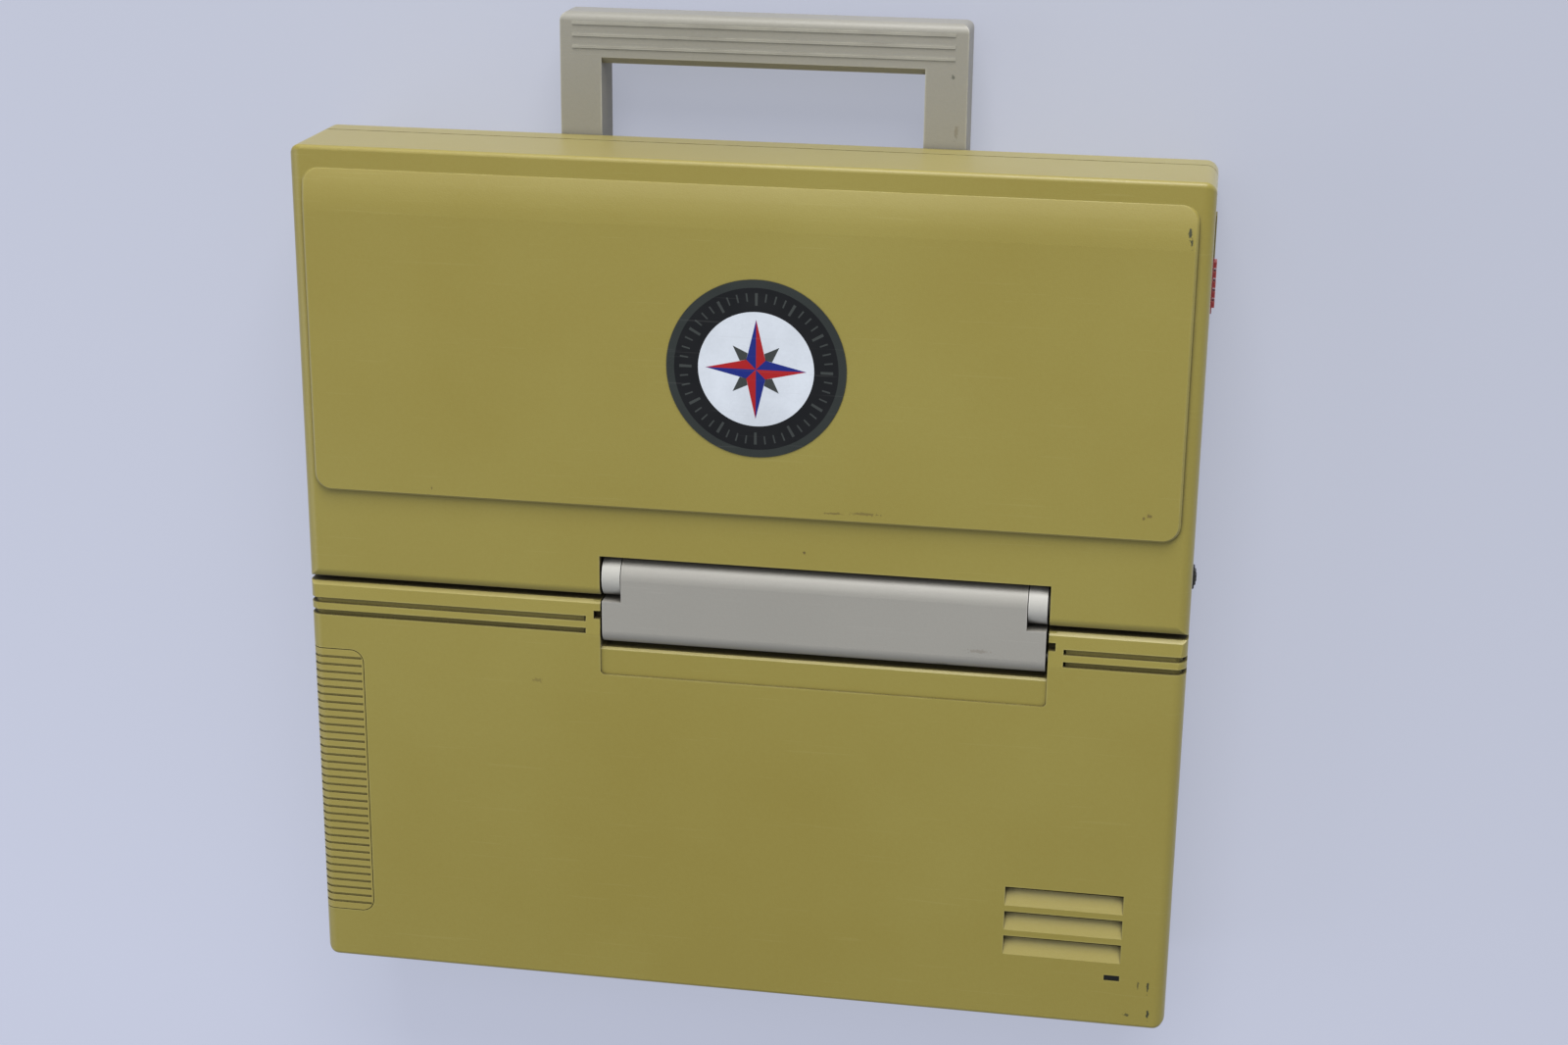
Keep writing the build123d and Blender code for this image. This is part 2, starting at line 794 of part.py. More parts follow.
def make_lid_knuckles():
    """The two end caps that carry the lid on its pin."""
    knuckles = []
    for side in (-1, 1):
        inner = arm_middle_x + side * (arm_half_middle + knuckle_gap)
        outer = inner + side * knuckle_length
        wall_x = arm_middle_x + side * (notch_half + case_wall)
        x0, x1 = min(inner, outer), max(inner, outer)
        knuckle = rod_x(2 * barrel_radius, x0, x1, axis_y, axis_z)
        stub_x0, stub_x1 = min(inner, wall_x), max(inner, wall_x)
        knuckle += rod_x(knuckle_stub, stub_x0, stub_x1, axis_y, axis_z)
        bore_end = outer - side * 1.0
        b0, b1 = min(inner - side, bore_end), max(inner - side, bore_end)
        knuckle -= rod_x(lid_pin_diameter + 2 * pin_clearance, b0, b1, axis_y, axis_z)
        knuckles.append(knuckle)
    return knuckles


def make_hinge_brackets():
    """Two steel plates inside the deck that hold the ends of the arm's pin."""
    brackets = []
    for side in (-1, 1):
        near = arm_middle_x + side * (notch_half + case_wall + fixed_gap)
        far = near + side * bracket_wall
        x0, x1 = min(near, far), max(near, far)
        plate = block(
            x0, x1, deck_front_y + case_wall + fixed_gap, arm_axis_y + bracket_reach, well_floor_z - 6,
            deck_under_z + bracket_seat - fixed_gap,
        )
        plate -= rod_x(arm_pin_diameter + 2 * pin_clearance, x0 - 1, x1 + 1, arm_axis_y, arm_axis_z)
        brackets.append(plate)
    return brackets


def make_pins():
    """The lid's pin, fixed in the knuckles, and the arm's pin, which turns in the brackets."""
    lid_half = arm_half_middle + knuckle_gap + knuckle_length - 1.2
    lid_pin = rod_x(lid_pin_diameter, arm_middle_x - lid_half, arm_middle_x + lid_half, axis_y, axis_z)
    arm_pin_half = notch_half + case_wall + fixed_gap + bracket_wall + arm_pin_end
    arm_pin = rod_x(
        arm_pin_diameter, arm_middle_x - arm_pin_half, arm_middle_x + arm_pin_half, arm_axis_y, arm_axis_z
    )
    return lid_pin, arm_pin


def make_battery_cover(body):
    """The ribbed cover that wraps over the right rear edge, with two tongues under the deck."""
    cover = (body & cover_region(0)) - deck_core(cover_wall, cover_y0, cover_y1)
    first = cover_middle_y - (cover_rib_count - 1) * cover_rib_pitch / 2
    core = deck_core(cover_rib_depth, cover_y0, cover_y1)
    slots = []
    for number in range(cover_rib_count):
        y0 = first + number * cover_rib_pitch - cover_rib_slot / 2
        slots.append(
            block(
                cover_inner_x + cover_rib_from_edge, side_x + 1, y0, y0 + cover_rib_slot,
                cover_bottom_z + cover_rib_from_edge, deck_z + 1,
            )
        )
    cover = cover - [slot - core for slot in slots]
    tongue_top = deck_under_z - moving_gap
    for y in (cover_y0 + cover_tongue_from_end, cover_y1 - cover_tongue_from_end):
        y0 = y - cover_tongue_width / 2
        y1 = y + cover_tongue_width / 2
        cover += block(
            cover_inner_x - cover_tongue_reach, cover_inner_x + 3, y0, y1, tongue_top - cover_tongue_wall,
            tongue_top,
        )
        cover += block(cover_inner_x + 0.5, cover_inner_x + 3, y0, y1, tongue_top - 0.5, deck_z - cover_wall + 0.1)
    return cover


def make_battery():
    """The battery pack, its tray and the contacts at the tray's inner end."""
    y0 = cover_middle_y - battery_width / 2
    y1 = cover_middle_y + battery_width / 2
    pack = block(battery_x0, battery_x1, y0, y1, battery_bottom_z, battery_top_z)
    pack = fillet(pack.edges().filter_by(Axis.X), battery_corner)
    tray = block(
        battery_x0 - 3 - tray_wall, inner_x - cover_wall - 1.5, y0 - tray_wall - fixed_gap,
        y1 + tray_wall + fixed_gap, battery_bottom_z - tray_wall - fixed_gap, deck_under_z - tray_lip_gap,
    )
    tray -= block(
        battery_x0 - 3, side_x, y0 - fixed_gap, y1 + fixed_gap, battery_bottom_z - fixed_gap, deck_z
    )
    tray -= block(
        cover_inner_x - cover_tongue_reach - 2, side_x, y0 - 10, y1 + 10, battery_top_z - 1, deck_z
    )
    contacts = []
    for number in range(4):
        y = cover_middle_y + (number - 1.5) * 9
        contacts.append(
            block(
                battery_x0 - 3 + 0.1, battery_x0 - 0.1, y - 2, y + 2, battery_bottom_z + 6,
                battery_bottom_z + 14,
            )
        )
    return pack, tray, contacts


def make_lid_shell():
    """The lid's shell with its raised panel, open underneath, with the notch for the hinge arm."""
    shell = block(-side_x, side_x, front_y, lid_rear_y, lid_bottom_z, lid_face_z)
    top_sides = shell.faces().sort_by(Axis.Z)[-1].edges().filter_by(Axis.Y)
    front_uprights = shell.edges().filter_by(Axis.Z).group_by(Axis.Y)[0]
    shell = fillet(top_sides + front_uprights, edge_radius)
    front_edge = shell.edges().filter_by(Axis.X).group_by(Axis.Z)[-1].sort_by(Axis.Y)[0]
    shell = fillet(front_edge, front_edge_radius)
    seam_y = lid_rear_y - seam_radius
    seam_z = lid_face_z - seam_radius
    seam_edge = block(-side_x - 1, side_x + 1, seam_y, lid_rear_y + 1, seam_z, lid_face_z + 1)
    shell -= seam_edge - rod_x(2 * seam_radius, -side_x - 1, side_x + 1, seam_y, seam_z)
    panel_y0 = front_y + panel_from_front
    panel_y1 = lid_rear_y - panel_to_lid_rear
    panel = block(
        -side_x + panel_inset, side_x - panel_inset, panel_y0, panel_y1, lid_face_z - 1, body_height
    )
    panel = fillet(panel.edges().filter_by(Axis.Z), panel_corner)
    crown_radius = (panel_curve**2 + panel_rise**2) / (2 * panel_rise)
    crown = rod_x(2 * crown_radius, -side_x, side_x, panel_y0 + panel_curve, body_height - crown_radius)
    front = block(-side_x, side_x, panel_y0 - 1, panel_y0 + panel_curve, lid_face_z - 2, body_height + 1)
    panel -= front - crown
    top = panel.faces().sort_by(Axis.Z)[-1]
    soft = top.edges().filter_by(lambda e: e.center().Y > panel_y0 + panel_curve + 0.5)
    panel = chamfer(soft, panel_soft)
    shell += panel

    shell -= block(
        -inner_x, inner_x, front_y + case_wall, lid_rear_y - case_wall, lid_bottom_z - 1, lid_under_z
    )
    shell -= block(
        -side_x - 1, side_x + 1, lid_rear_y - 2 * case_wall, lid_rear_y + 1, lid_bottom_z - 1,
        lid_bottom_z + rear_rim_lift,
    )
    shell += block(
        notch_x0 - case_wall, notch_x1 + case_wall, notch_front_y - case_wall, lid_rear_y - edge_radius,
        bezel_top_z + fixed_gap, lid_face_z - 1,
    )
    shell -= block(
        notch_x0, notch_x1, notch_front_y, lid_rear_y + 1, lid_bottom_z - 1, lid_face_z + 1
    )
    hole_x0 = notch_x0 - case_wall - 1
    hole_x1 = notch_x1 + case_wall + 1
    shell -= rod_x(knuckle_stub + 2 * pin_clearance, hole_x0, hole_x1, axis_y, axis_z)

    for x, y in lid_boss_places:
        shell += rod_z(lid_boss_diameter, x, y, bezel_top_z + fixed_gap, lid_under_z + 1)
        shell -= rod_z(screw_diameter + 2 * pin_clearance, x, y, bezel_z, bezel_z + lid_screw_length + 1)
    for side in (-1, 1):
        x0, x1 = sorted((side * (side_x - latch_recess), side * (side_x + 1)))
        shell -= block(
            x0, x1, front_y + latch_from_front - moving_gap,
            front_y + latch_from_front + latch_length + latch_travel + moving_gap,
            latch_z - moving_gap, latch_z + latch_height + moving_gap,
        )
        x0, x1 = sorted((side * (inner_x - 1), side * (side_x + 1)))
        neck_y0 = front_y + latch_from_front + (latch_length - latch_neck) / 2 - moving_gap
        shell -= block(
            x0, x1, neck_y0, neck_y0 + latch_neck + latch_travel + 2 * moving_gap,
            latch_z + latch_height / 2 - 1.5 - moving_gap, latch_z + latch_height / 2 + 1.5 + moving_gap,
        )
    return shell


def make_screen():
    """Bezel, glass, metal frame and driver board, stacked under the lid's shell."""
    bezel = block(
        -inner_x + fixed_gap, inner_x - fixed_gap, front_y + case_wall + fixed_gap,
        lid_rear_y - case_wall - fixed_gap, bezel_z, bezel_top_z,
    )
    bezel -= block(
        notch_x0 - fixed_gap, notch_x1 + fixed_gap, notch_front_y - fixed_gap, lid_rear_y + 1, 0, deck_z
    )
    bezel -= block(
        -screen_width / 2, screen_width / 2, screen_y0, screen_y1, bezel_z - 1, bezel_top_z + 1
    )
    latch_y0 = front_y + latch_from_front - 2
    latch_y1 = front_y + latch_from_front + latch_length + latch_travel + 2
    for side in (-1, 1):
        x0, x1 = sorted((side * (inner_x - latch_wall - 0.8), side * side_x))
        bezel -= block(x0, x1, latch_y0, latch_y1, 0, deck_z)
    for x, y in lid_boss_places:
        bezel -= rod_z(boss_bore, x, y, bezel_z - 1, bezel_top_z + 1)

    glass_z0 = bezel_top_z + fixed_gap
    glass_x = screen_width / 2 + glass_margin
    glass = block(
        -glass_x, glass_x, screen_y0 - glass_margin, screen_y1 + glass_margin, glass_z0,
        glass_z0 + glass_wall,
    )
    frame_x = glass_x + screen_frame_border
    frame_y0 = screen_y0 - glass_margin - screen_frame_border
    frame_y1 = screen_y1 + glass_margin + screen_frame_border
    board_z1 = lid_under_z - screen_board_to_lid
    board_z0 = board_z1 - screen_board_wall
    frame_z1 = board_z0 - board_gap
    frame = block(-frame_x, frame_x, frame_y0, frame_y1, glass_z0, frame_z1)
    frame -= block(
        -glass_x - fixed_gap, glass_x + fixed_gap, screen_y0 - glass_margin - fixed_gap,
        screen_y1 + glass_margin + fixed_gap, glass_z0 - 1, glass_z0 + glass_wall + fixed_gap,
    )
    board = block(-frame_x, frame_x, frame_y0, frame_y1, board_z0, board_z1)
    return bezel, glass, frame, board


def make_latches():
    """A thumb slide on each side of the lid, with a hook that reaches into the keyboard surround."""
    latches = []
    y0 = front_y + latch_from_front
    for side in (-1, 1):
        pad = block(
            side_x - latch_recess + fixed_gap, side_x + latch_stand_out, y0, y0 + latch_length, latch_z,
            latch_z + latch_height,
        )
        neck_y0 = y0 + (latch_length - latch_neck) / 2
        neck_z = latch_z + latch_height / 2
        neck = block(
            inner_x - moving_gap - 0.5, side_x, neck_y0, neck_y0 + latch_neck, neck_z - 1.5, neck_z + 1.5
        )
        plate_x1 = inner_x - moving_gap
        plate_x0 = plate_x1 - latch_wall
        plate = block(plate_x0, plate_x1, y0, y0 + latch_length, latch_z, latch_z + latch_height)
        hook = block(plate_x0, plate_x1, y0, y0 + latch_hook_length, latch_hook_z, latch_z + 1)
        latch = joined([pad, neck, plate, hook])
        latches.append(latch if side == 1 else mirror(latch, about=Plane.YZ))
    return latches


def make_drive(number):
    """One diskette drive: its metal body, its bezel and its eject button."""
    y0 = drive_y(number)
    y1 = y0 + drive_width
    middle = (y0 + y1) / 2
    slot_z0 = drive_slot_z - drive_slot_height / 2
    slot_z1 = drive_slot_z + drive_slot_height / 2
    slot_y0 = middle - drive_slot_width / 2
    slot_y1 = middle + drive_slot_width / 2
    slot = block(drive_x1 - drive_slot_depth, side_x + 1, slot_y0, slot_y1, slot_z0, slot_z1)
    eject_y = y1 - eject_from_edge - eject_width / 2
    eject_hole = block(
        drive_x1 - eject_stem - eject_travel - 1, side_x + 1, eject_y - eject_width / 2 - moving_gap,
        eject_y + eject_width / 2 + moving_gap, eject_z - eject_height / 2 - moving_gap,
        eject_z + eject_height / 2 + moving_gap,
    )
    drive = block(drive_x0, drive_x1, y0, y1, drive_z0, drive_z1) - slot - eject_hole
    bezel = block(drive_x1 + 0.1, side_x, y0, y1, drive_z0, drive_z1) - slot - eject_hole
    thumb_y0 = middle - drive_thumb / 2
    bezel -= block(
        side_x - drive_thumb_depth, side_x + 1, thumb_y0, thumb_y0 + drive_thumb, slot_z0 - 3, slot_z1 + 3
    )
    button = block(
        drive_x1 - eject_stem, side_x + side_stand_out, eject_y - eject_width / 2, eject_y + eject_width / 2,
        eject_z - eject_height / 2, eject_z + eject_height / 2,
    )
    button = fillet(button.faces().sort_by(Axis.X)[-1].edges(), 0.6)
    return drive, bezel, button


def make_power_switch():
    """The red slide with its five ribs, and the switch body behind the side wall."""
    y0 = front_y + switch_from_front
    z0 = switch_z - switch_height / 2
    z1 = switch_z + switch_height / 2
    plate_x = -side_x - switch_stand_out + switch_rib_height
    knob = block(plate_x, -side_x - 0.1, y0, y0 + switch_length, z0, z1)
    first = y0 + switch_length / 2 - (switch_rib_count - 1) * switch_rib_pitch / 2
    for number in range(switch_rib_count):
        y = first + number * switch_rib_pitch
        knob += block(
            plate_x - switch_rib_height, plate_x + 0.5, y - switch_rib_length / 2, y + switch_rib_length / 2,
            z0, z1,
        )
    neck_y0 = y0 + (switch_length - switch_neck_length) / 2
    knob += block(
        -side_x - 0.5, -inner_x - 0.1, neck_y0, neck_y0 + switch_neck_length,
        switch_z - switch_neck_height / 2, switch_z + switch_neck_height / 2,
    )
    switch_body = block(
        -inner_x + moving_gap, -inner_x + moving_gap + switch_body_depth, y0 - 3, y0 + switch_length + 8,
        parting_z + 1, keyboard_deck_z - case_wall - fixed_gap,
    )
    return knob, switch_body


def make_contrast_wheel():
    """The thumb wheel in the left side and the control that it turns on."""
    x = -side_x + wheel_diameter / 2 - wheel_stand_out
    y = lid_rear_y - wheel_from_lid_rear
    wheel = rod_z(wheel_diameter, x, y, wheel_z, wheel_z + wheel_thickness)
    teeth = []
    for number in range(wheel_teeth):
        angle = 2 * math.pi * number / wheel_teeth
        reach = wheel_diameter / 2 + 0.5 - wheel_tooth_depth
        teeth.append(
            rod_z(1.0, x + reach * math.cos(angle), y + reach * math.sin(angle), wheel_z - 1, wheel_z + 5)
        )
    wheel = wheel - teeth
    wheel -= rod_z(wheel_axle + 2 * pin_clearance, x, y, wheel_z - 1, wheel_z + wheel_thickness + 1)
    control = block(x - 5, x + 5, y - 5, y + 5, board_z + board_wall + 0.1, wheel_z - moving_gap)
    control += rod_z(wheel_axle, x, y, wheel_z - 1, wheel_z + wheel_thickness - 0.2)
    return wheel, control


def key_shape(units):
    """One key with its stem, its middle at the origin and its foot at key_bottom_z."""
    width = units * key_unit - key_gap
    depth = row_pitch - key_gap
    foot = Pos(0, 0, key_bottom_z) * RectangleRounded(width, depth, key_corner)
    crown = Pos(0, 0, key_top_z) * RectangleRounded(
        width - 2 * key_top_inset, depth - 2 * key_top_inset, key_corner
    )
    key = loft([foot, crown])
    return key + rod_z(key_stem_diameter, 0, 0, plate_bottom_z + 0.4, key_bottom_z + 0.5)


def key_places(units, first_units):
    """Middle in X and width of each key of a row that starts after some units."""
    places = []
    at = first_units
    for width in units:
        places.append((-keyboard_half + (at + width / 2) * key_unit, width))
        at += width
    return places


def row_y(row):
    """The middle of a row of keys, the space bar's row being 0."""
    return keyboard_y0 + (row + 0.5) * row_pitch


def key_groups():
    """Name, row and places of each group of keys that presses together here."""
    left_units = sum(bottom_left)
    return [
        ("keys_bottom_left", 0, key_places(bottom_left, 0)),
        ("space_bar", 0, key_places([space_units], left_units)),
        ("keys_bottom_right", 0, key_places(bottom_right, left_units + space_units)),
        ("keys_row_shift", 1, key_places(row_lower, 0)),
        ("keys_row_home", 2, key_places(row_home, 0)),
        ("keys_row_upper", 3, key_places(row_upper, 0)),
        ("keys_row_number", 4, key_places(row_number, 0)),
        ("keys_row_function", 5, key_places(row_function, 0)),
    ]


def make_keyboard_plate():
    """The plate that guides the key stems, with a rim that seats under the keyboard surround."""
    y0 = keyboard_y0 - keyboard_margin - plate_rim_width
    y1 = keyboard_y1 + keyboard_margin + plate_rim_width
    rim_top = keyboard_deck_z - case_wall - plate_rim_gap
    plate = block(-plate_half, plate_half, y0, y1, plate_bottom_z, rim_top)
    plate -= block(
        -opening_half, opening_half, y0 + plate_rim_width, y1 - plate_rim_width, plate_top_z, rim_top + 1
    )
    hole = key_stem_diameter + 2 * key_stem_clearance
    holes = []
    for name, row, places in key_groups():
        for x, width in places:
            holes.append(rod_z(hole, x, row_y(row), plate_bottom_z - 1, plate_top_z + 1))
    return plate - holes


def make_boards():
    """Main board with its chips, and the power board with its parts over the rear drive."""
    y0 = front_y + board_from_front
    main = block(board_x0, board_x1, y0, y0 + board_length, board_z, board_z + board_wall)
    for x, y in case_boss_places:
        main -= rod_z(boss_diameter + 1, x, y, board_z - 1, board_z + board_wall + 1)
    chips = []
    chip_z = board_z + board_wall + 0.1
    for column in range(chip_columns):
        for row in range(chip_rows):
            x = board_x0 + chip_first + column * chip_pitch
            y = y0 + chip_first + row * chip_pitch
            chips.append(
                block(
                    x - chip_width / 2, x + chip_width / 2, y - chip_length / 2, y + chip_length / 2,
                    chip_z, chip_z + chip_height,
                )
            )
    power_y1 = power_board_y0 + power_board_depth
    top_z = power_board_z + board_wall
    power = block(power_board_x0, power_board_x1, power_board_y0, power_y1, power_board_z, top_z)
    middle = (power_board_y0 + power_y1) / 2
    parts = []
    for number in range(power_part_count):
        x = power_board_x0 + power_part_diameter + number * power_part_pitch
        parts.append(rod_z(power_part_diameter, x, middle, top_z + 0.1, top_z + power_part_height))
    coil_x = power_board_x1 - coil_length
    parts.append(
        block(
            coil_x - coil_length / 2, coil_x + coil_length / 2, middle - coil_width / 2,
            middle + coil_width / 2, top_z + 0.1, top_z + power_part_height,
        )
    )
    return main, chips, power, parts


def make_connectors():
    """The rear connectors: a metal shell with a plastic face of holes, and the power inlet."""
    rear_face = rear_y - connector_face_inset
    sockets = []
    for x, width, height in connector_places():
        socket = block(
            x - width / 2, x + width / 2, rear_face - connector_depth, rear_face,
            connector_z - height / 2, connector_z + height / 2,
        )
        if height < width:
            holes = []
            count = int((width - 16) / 2.8)
            for number in range(count):
                hole_x = x + (number - (count - 1) / 2) * 2.8
                for z in (connector_z - 1.4, connector_z + 1.4):
                    holes.append(
                        Pos(hole_x, rear_face, z) * Rot(90, 0, 0) * Cylinder(0.6, 6)
                    )
            socket = socket - holes
        else:
            ring = Pos(x, rear_face, connector_z) * Rot(90, 0, 0)
            socket -= ring * (Cylinder(2.8, 16) - Cylinder(1.0, 18))
        sockets.append(socket)
    return sockets


def make_screws():
    """Case screws from below and lid screws through the bezel."""
    case_screws = []
    for x, y in case_boss_places:
        head = rod_z(screw_head_diameter, x, y, floor_z + 0.4, floor_z + head_recess - 0.1)
        shank = rod_z(screw_diameter, x, y, floor_z + 1, parting_z + case_screw_length - 6)
        case_screws.append(head + shank)
    lid_screws = []
    for x, y in lid_boss_places:
        head = rod_z(screw_head_diameter, x, y, bezel_z - screw_head_height, bezel_z - 0.1)
        shank = rod_z(screw_diameter, x, y, bezel_z - 1, bezel_z + lid_screw_length)
        lid_screws.append(head + shank)
    return case_screws, lid_screws


def make_feet():
    """Round rubber feet underneath and rubber bars on the rear wall."""
    round_feet = []
    for x, y in foot_places():
        foot = rod_z(foot_diameter, x, y, 0, floor_z + foot_seat - 0.1)
        round_feet.append(chamfer(foot.faces().sort_by(Axis.Z)[0].edges(), 0.8))
    rear_feet = []
    for x in (-rear_foot_x, rear_foot_x):
        for z in (rear_foot_bottom_z, deck_z - edge_radius - rear_foot_width):
            foot = block(
                x - rear_foot_length / 2, x + rear_foot_length / 2, rear_y + 0.0, rear_y + rear_foot_height,
                z, z + rear_foot_width,
            )
            rear_feet.append(chamfer(foot.faces().sort_by(Axis.Y)[-1].edges(), 0.5))
    return round_feet, rear_feet


def make_pads():
    """Thin pads on the keyboard surround that the closed lid's rim rests on."""
    pads = []
    y = front_y + (case_wall - pad_width) / 2
    for x in (-pad_outer_x, -pad_inner_x, pad_inner_x, pad_outer_x):
        pads.append(
            block(
                x - pad_length / 2, x + pad_length / 2, y, y + pad_width, keyboard_deck_z,
                keyboard_deck_z + pad_height,
            )
        )
    return pads


def make_speaker():
    """The loudspeaker, hung under the louvres."""
    middle_y = (louvre_y + louvre_end_y) / 2
    top_z = deck_z - louvre_depth - case_wall - fixed_gap
    speaker = rod_z(speaker_diameter, louvre_x, middle_y, top_z - 2.5, top_z)
    speaker += rod_z(speaker_diameter * 0.55, louvre_x, middle_y, top_z - speaker_height, top_z - 1)
    return speaker


def make_window():
    """The small dark window over the indicator light."""
    gap = 0.1
    x0 = window_x - window_width / 2 + gap
    y0 = window_y + gap
    window = block(
        x0, x0 + window_width - 2 * gap, y0, y0 + window_length - 2 * gap, deck_under_z - 2, deck_z - 0.3
    )
    flange_z = deck_under_z - 0.1
    window += block(x0 - 2, x0 + window_width + 1.8, y0 - 1.5, y0 + window_length + 1.3, flange_z - 1.5, flange_z)
    return window


def make_sticker():
    """The round sticker on the lid's panel."""
    y = front_y + sticker_from_front
    return rod_z(sticker_diameter, sticker_x, y, body_height, body_height + sticker_thickness)


outside = deck_body()
save("top_case", make_top_case(outside))
save("bottom_case", make_bottom_case())
save("handle", make_handle())
save_group("handle_rails", make_handle_rails())
save("hinge_arm", make_hinge_arm())
save_group("lid_knuckles", make_lid_knuckles())
save_group("hinge_brackets", make_hinge_brackets())
lid_pin, arm_pin = make_pins()
save("lid_pin", lid_pin)
save("arm_pin", arm_pin)
save("battery_cover", make_battery_cover(outside))
battery_pack, battery_tray, battery_contacts = make_battery()
save("battery_pack", battery_pack)
save("battery_tray", battery_tray)
save_group("battery_contacts", battery_contacts)
save("lid_shell", make_lid_shell())
screen_bezel, screen_glass, screen_frame, screen_board = make_screen()
save("screen_bezel", screen_bezel)
save("screen_glass", screen_glass)
save("screen_frame", screen_frame)
save("screen_board", screen_board)
latch_left, latch_right = make_latches()
save("latch_left", latch_left)
save("latch_right", latch_right)
for drive_number, drive_name in enumerate(drive_names):
    drive, drive_bezel, eject_button = make_drive(drive_number)
    save("drive_" + drive_name, drive)
    save("drive_bezel_" + drive_name, drive_bezel)
    save("eject_button_" + drive_name, eject_button)
power_switch, switch_body = make_power_switch()
save("power_switch", power_switch)
save("switch_body", switch_body)
contrast_wheel, contrast_control = make_contrast_wheel()
save("contrast_wheel", contrast_wheel)
save("contrast_control", contrast_control)
save("keyboard_plate", make_keyboard_plate())
for group_name, group_row, group_places in key_groups():
    keys = [Pos(x, row_y(group_row), 0) * key_shape(width) for x, width in group_places]
    save_group(group_name, keys)
main_board, board_chips, power_board, power_parts = make_boards()
save("main_board", main_board)
save_group("board_chips", board_chips)
save("power_board", power_board)
save_group("power_parts", power_parts)
save_group("rear_connectors", make_connectors())
case_screws, lid_screws = make_screws()
save_group("case_screws", case_screws)
save_group("lid_screws", lid_screws)
bottom_feet, rear_feet = make_feet()
save_group("bottom_feet", bottom_feet)
save_group("rear_feet", rear_feet)
save_group("rim_pads", make_pads())
save("speaker", make_speaker())
save("indicator_window", make_window())
save("round_sticker", make_sticker())
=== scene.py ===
"""Portable computer of the mid 1980s: a yellowed clamshell case with its carrying handle pulled out."""

import math

import bmesh
import bpy
from mathutils import Matrix, Vector


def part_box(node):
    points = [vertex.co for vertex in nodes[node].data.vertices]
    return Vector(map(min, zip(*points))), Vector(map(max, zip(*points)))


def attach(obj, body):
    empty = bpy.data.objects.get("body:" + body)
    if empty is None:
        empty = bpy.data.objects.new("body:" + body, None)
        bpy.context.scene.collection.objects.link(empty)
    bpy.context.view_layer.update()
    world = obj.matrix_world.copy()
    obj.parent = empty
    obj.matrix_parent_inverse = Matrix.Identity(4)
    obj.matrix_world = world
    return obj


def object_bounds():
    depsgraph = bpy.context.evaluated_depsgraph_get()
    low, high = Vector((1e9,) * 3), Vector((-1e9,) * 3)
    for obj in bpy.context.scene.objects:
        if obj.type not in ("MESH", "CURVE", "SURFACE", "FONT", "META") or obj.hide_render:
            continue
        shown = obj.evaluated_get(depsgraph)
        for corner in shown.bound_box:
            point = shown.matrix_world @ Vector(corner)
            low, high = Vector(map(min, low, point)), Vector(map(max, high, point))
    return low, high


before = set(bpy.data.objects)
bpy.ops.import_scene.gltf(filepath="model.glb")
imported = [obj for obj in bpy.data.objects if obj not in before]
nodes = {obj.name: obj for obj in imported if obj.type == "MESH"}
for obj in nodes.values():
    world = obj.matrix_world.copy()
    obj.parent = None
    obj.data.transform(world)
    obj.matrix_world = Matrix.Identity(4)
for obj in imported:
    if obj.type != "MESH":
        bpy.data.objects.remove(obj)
cad_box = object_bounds()


# The view: the machine seen from above its lid, a little from its front and left, front edge up.
# The camera stands where the photograph's camera stood, worked out from the corners of the lid and deck.
camera_place = Vector((-0.15424, -0.29012, 0.89261))
camera_aim = Vector((-0.01653, -0.00937, 0.066))
camera_roll = math.radians(0.62)
camera_lens = 59.31

look = (camera_aim - camera_place).normalized()
front_up = Vector((math.sin(camera_roll), -math.cos(camera_roll), 0.0))
right = look.cross(front_up).normalized()
up = right.cross(look)
camera_data = bpy.data.cameras.new("photo_camera")
camera_data.lens = camera_lens
camera_data.sensor_width = 36.0
camera_data.clip_start = 0.01
camera = bpy.data.objects.new("photo_camera", camera_data)
camera.matrix_world = Matrix.Translation(camera_place) @ Matrix((right, up, -look)).transposed().to_4x4()
bpy.context.scene.collection.objects.link(camera)
bpy.context.scene.camera = camera
bpy.context.scene.view_settings.view_transform = "Standard"


# The studio: a pale blue grey floor, a broad and a low lamp beyond the front edge, a sheen panel and a fill.
# The front lamps make the front wall and the bevels the bright faces, and the panel overhead shows in the
# slopes that lean to the front. The floor has an even glow of its own that gets paler toward the rear.
def srgb(red, green, blue):
    """A colour written as it looks on screen, 0 to 255, as the linear colour that shaders take."""

    def linear(value):
        value /= 255.0
        return value / 12.92 if value <= 0.04045 else ((value + 0.055) / 1.055) ** 2.4

    return (linear(red), linear(green), linear(blue), 1.0)


def put(tree, socket, value):
    """Links a socket to another socket, or sets it to a plain value."""
    if isinstance(value, bpy.types.NodeSocket):
        tree.links.new(value, socket)
    else:
        socket.default_value = value


def new_material(name):
    """An empty node material with one Principled shader; gives the material, its tree and the shader."""
    material = bpy.data.materials.new(name)
    material.use_nodes = True
    tree = material.node_tree
    tree.nodes.clear()
    shader = tree.nodes.new("ShaderNodeBsdfPrincipled")
    output = tree.nodes.new("ShaderNodeOutputMaterial")
    tree.links.new(shader.outputs[0], output.inputs["Surface"])
    return material, tree, shader


def noise(tree, scale, detail=2.0, place=None):
    """Soft random values over the surface, with features about 1 / scale metres wide."""
    node = tree.nodes.new("ShaderNodeTexNoise")
    if place is None:
        place = tree.nodes.new("ShaderNodeTexCoord").outputs["Object"]
    put(tree, node.inputs["Vector"], place)
    put(tree, node.inputs["Scale"], scale)
    node.inputs["Detail"].default_value = detail
    return node.outputs[0]


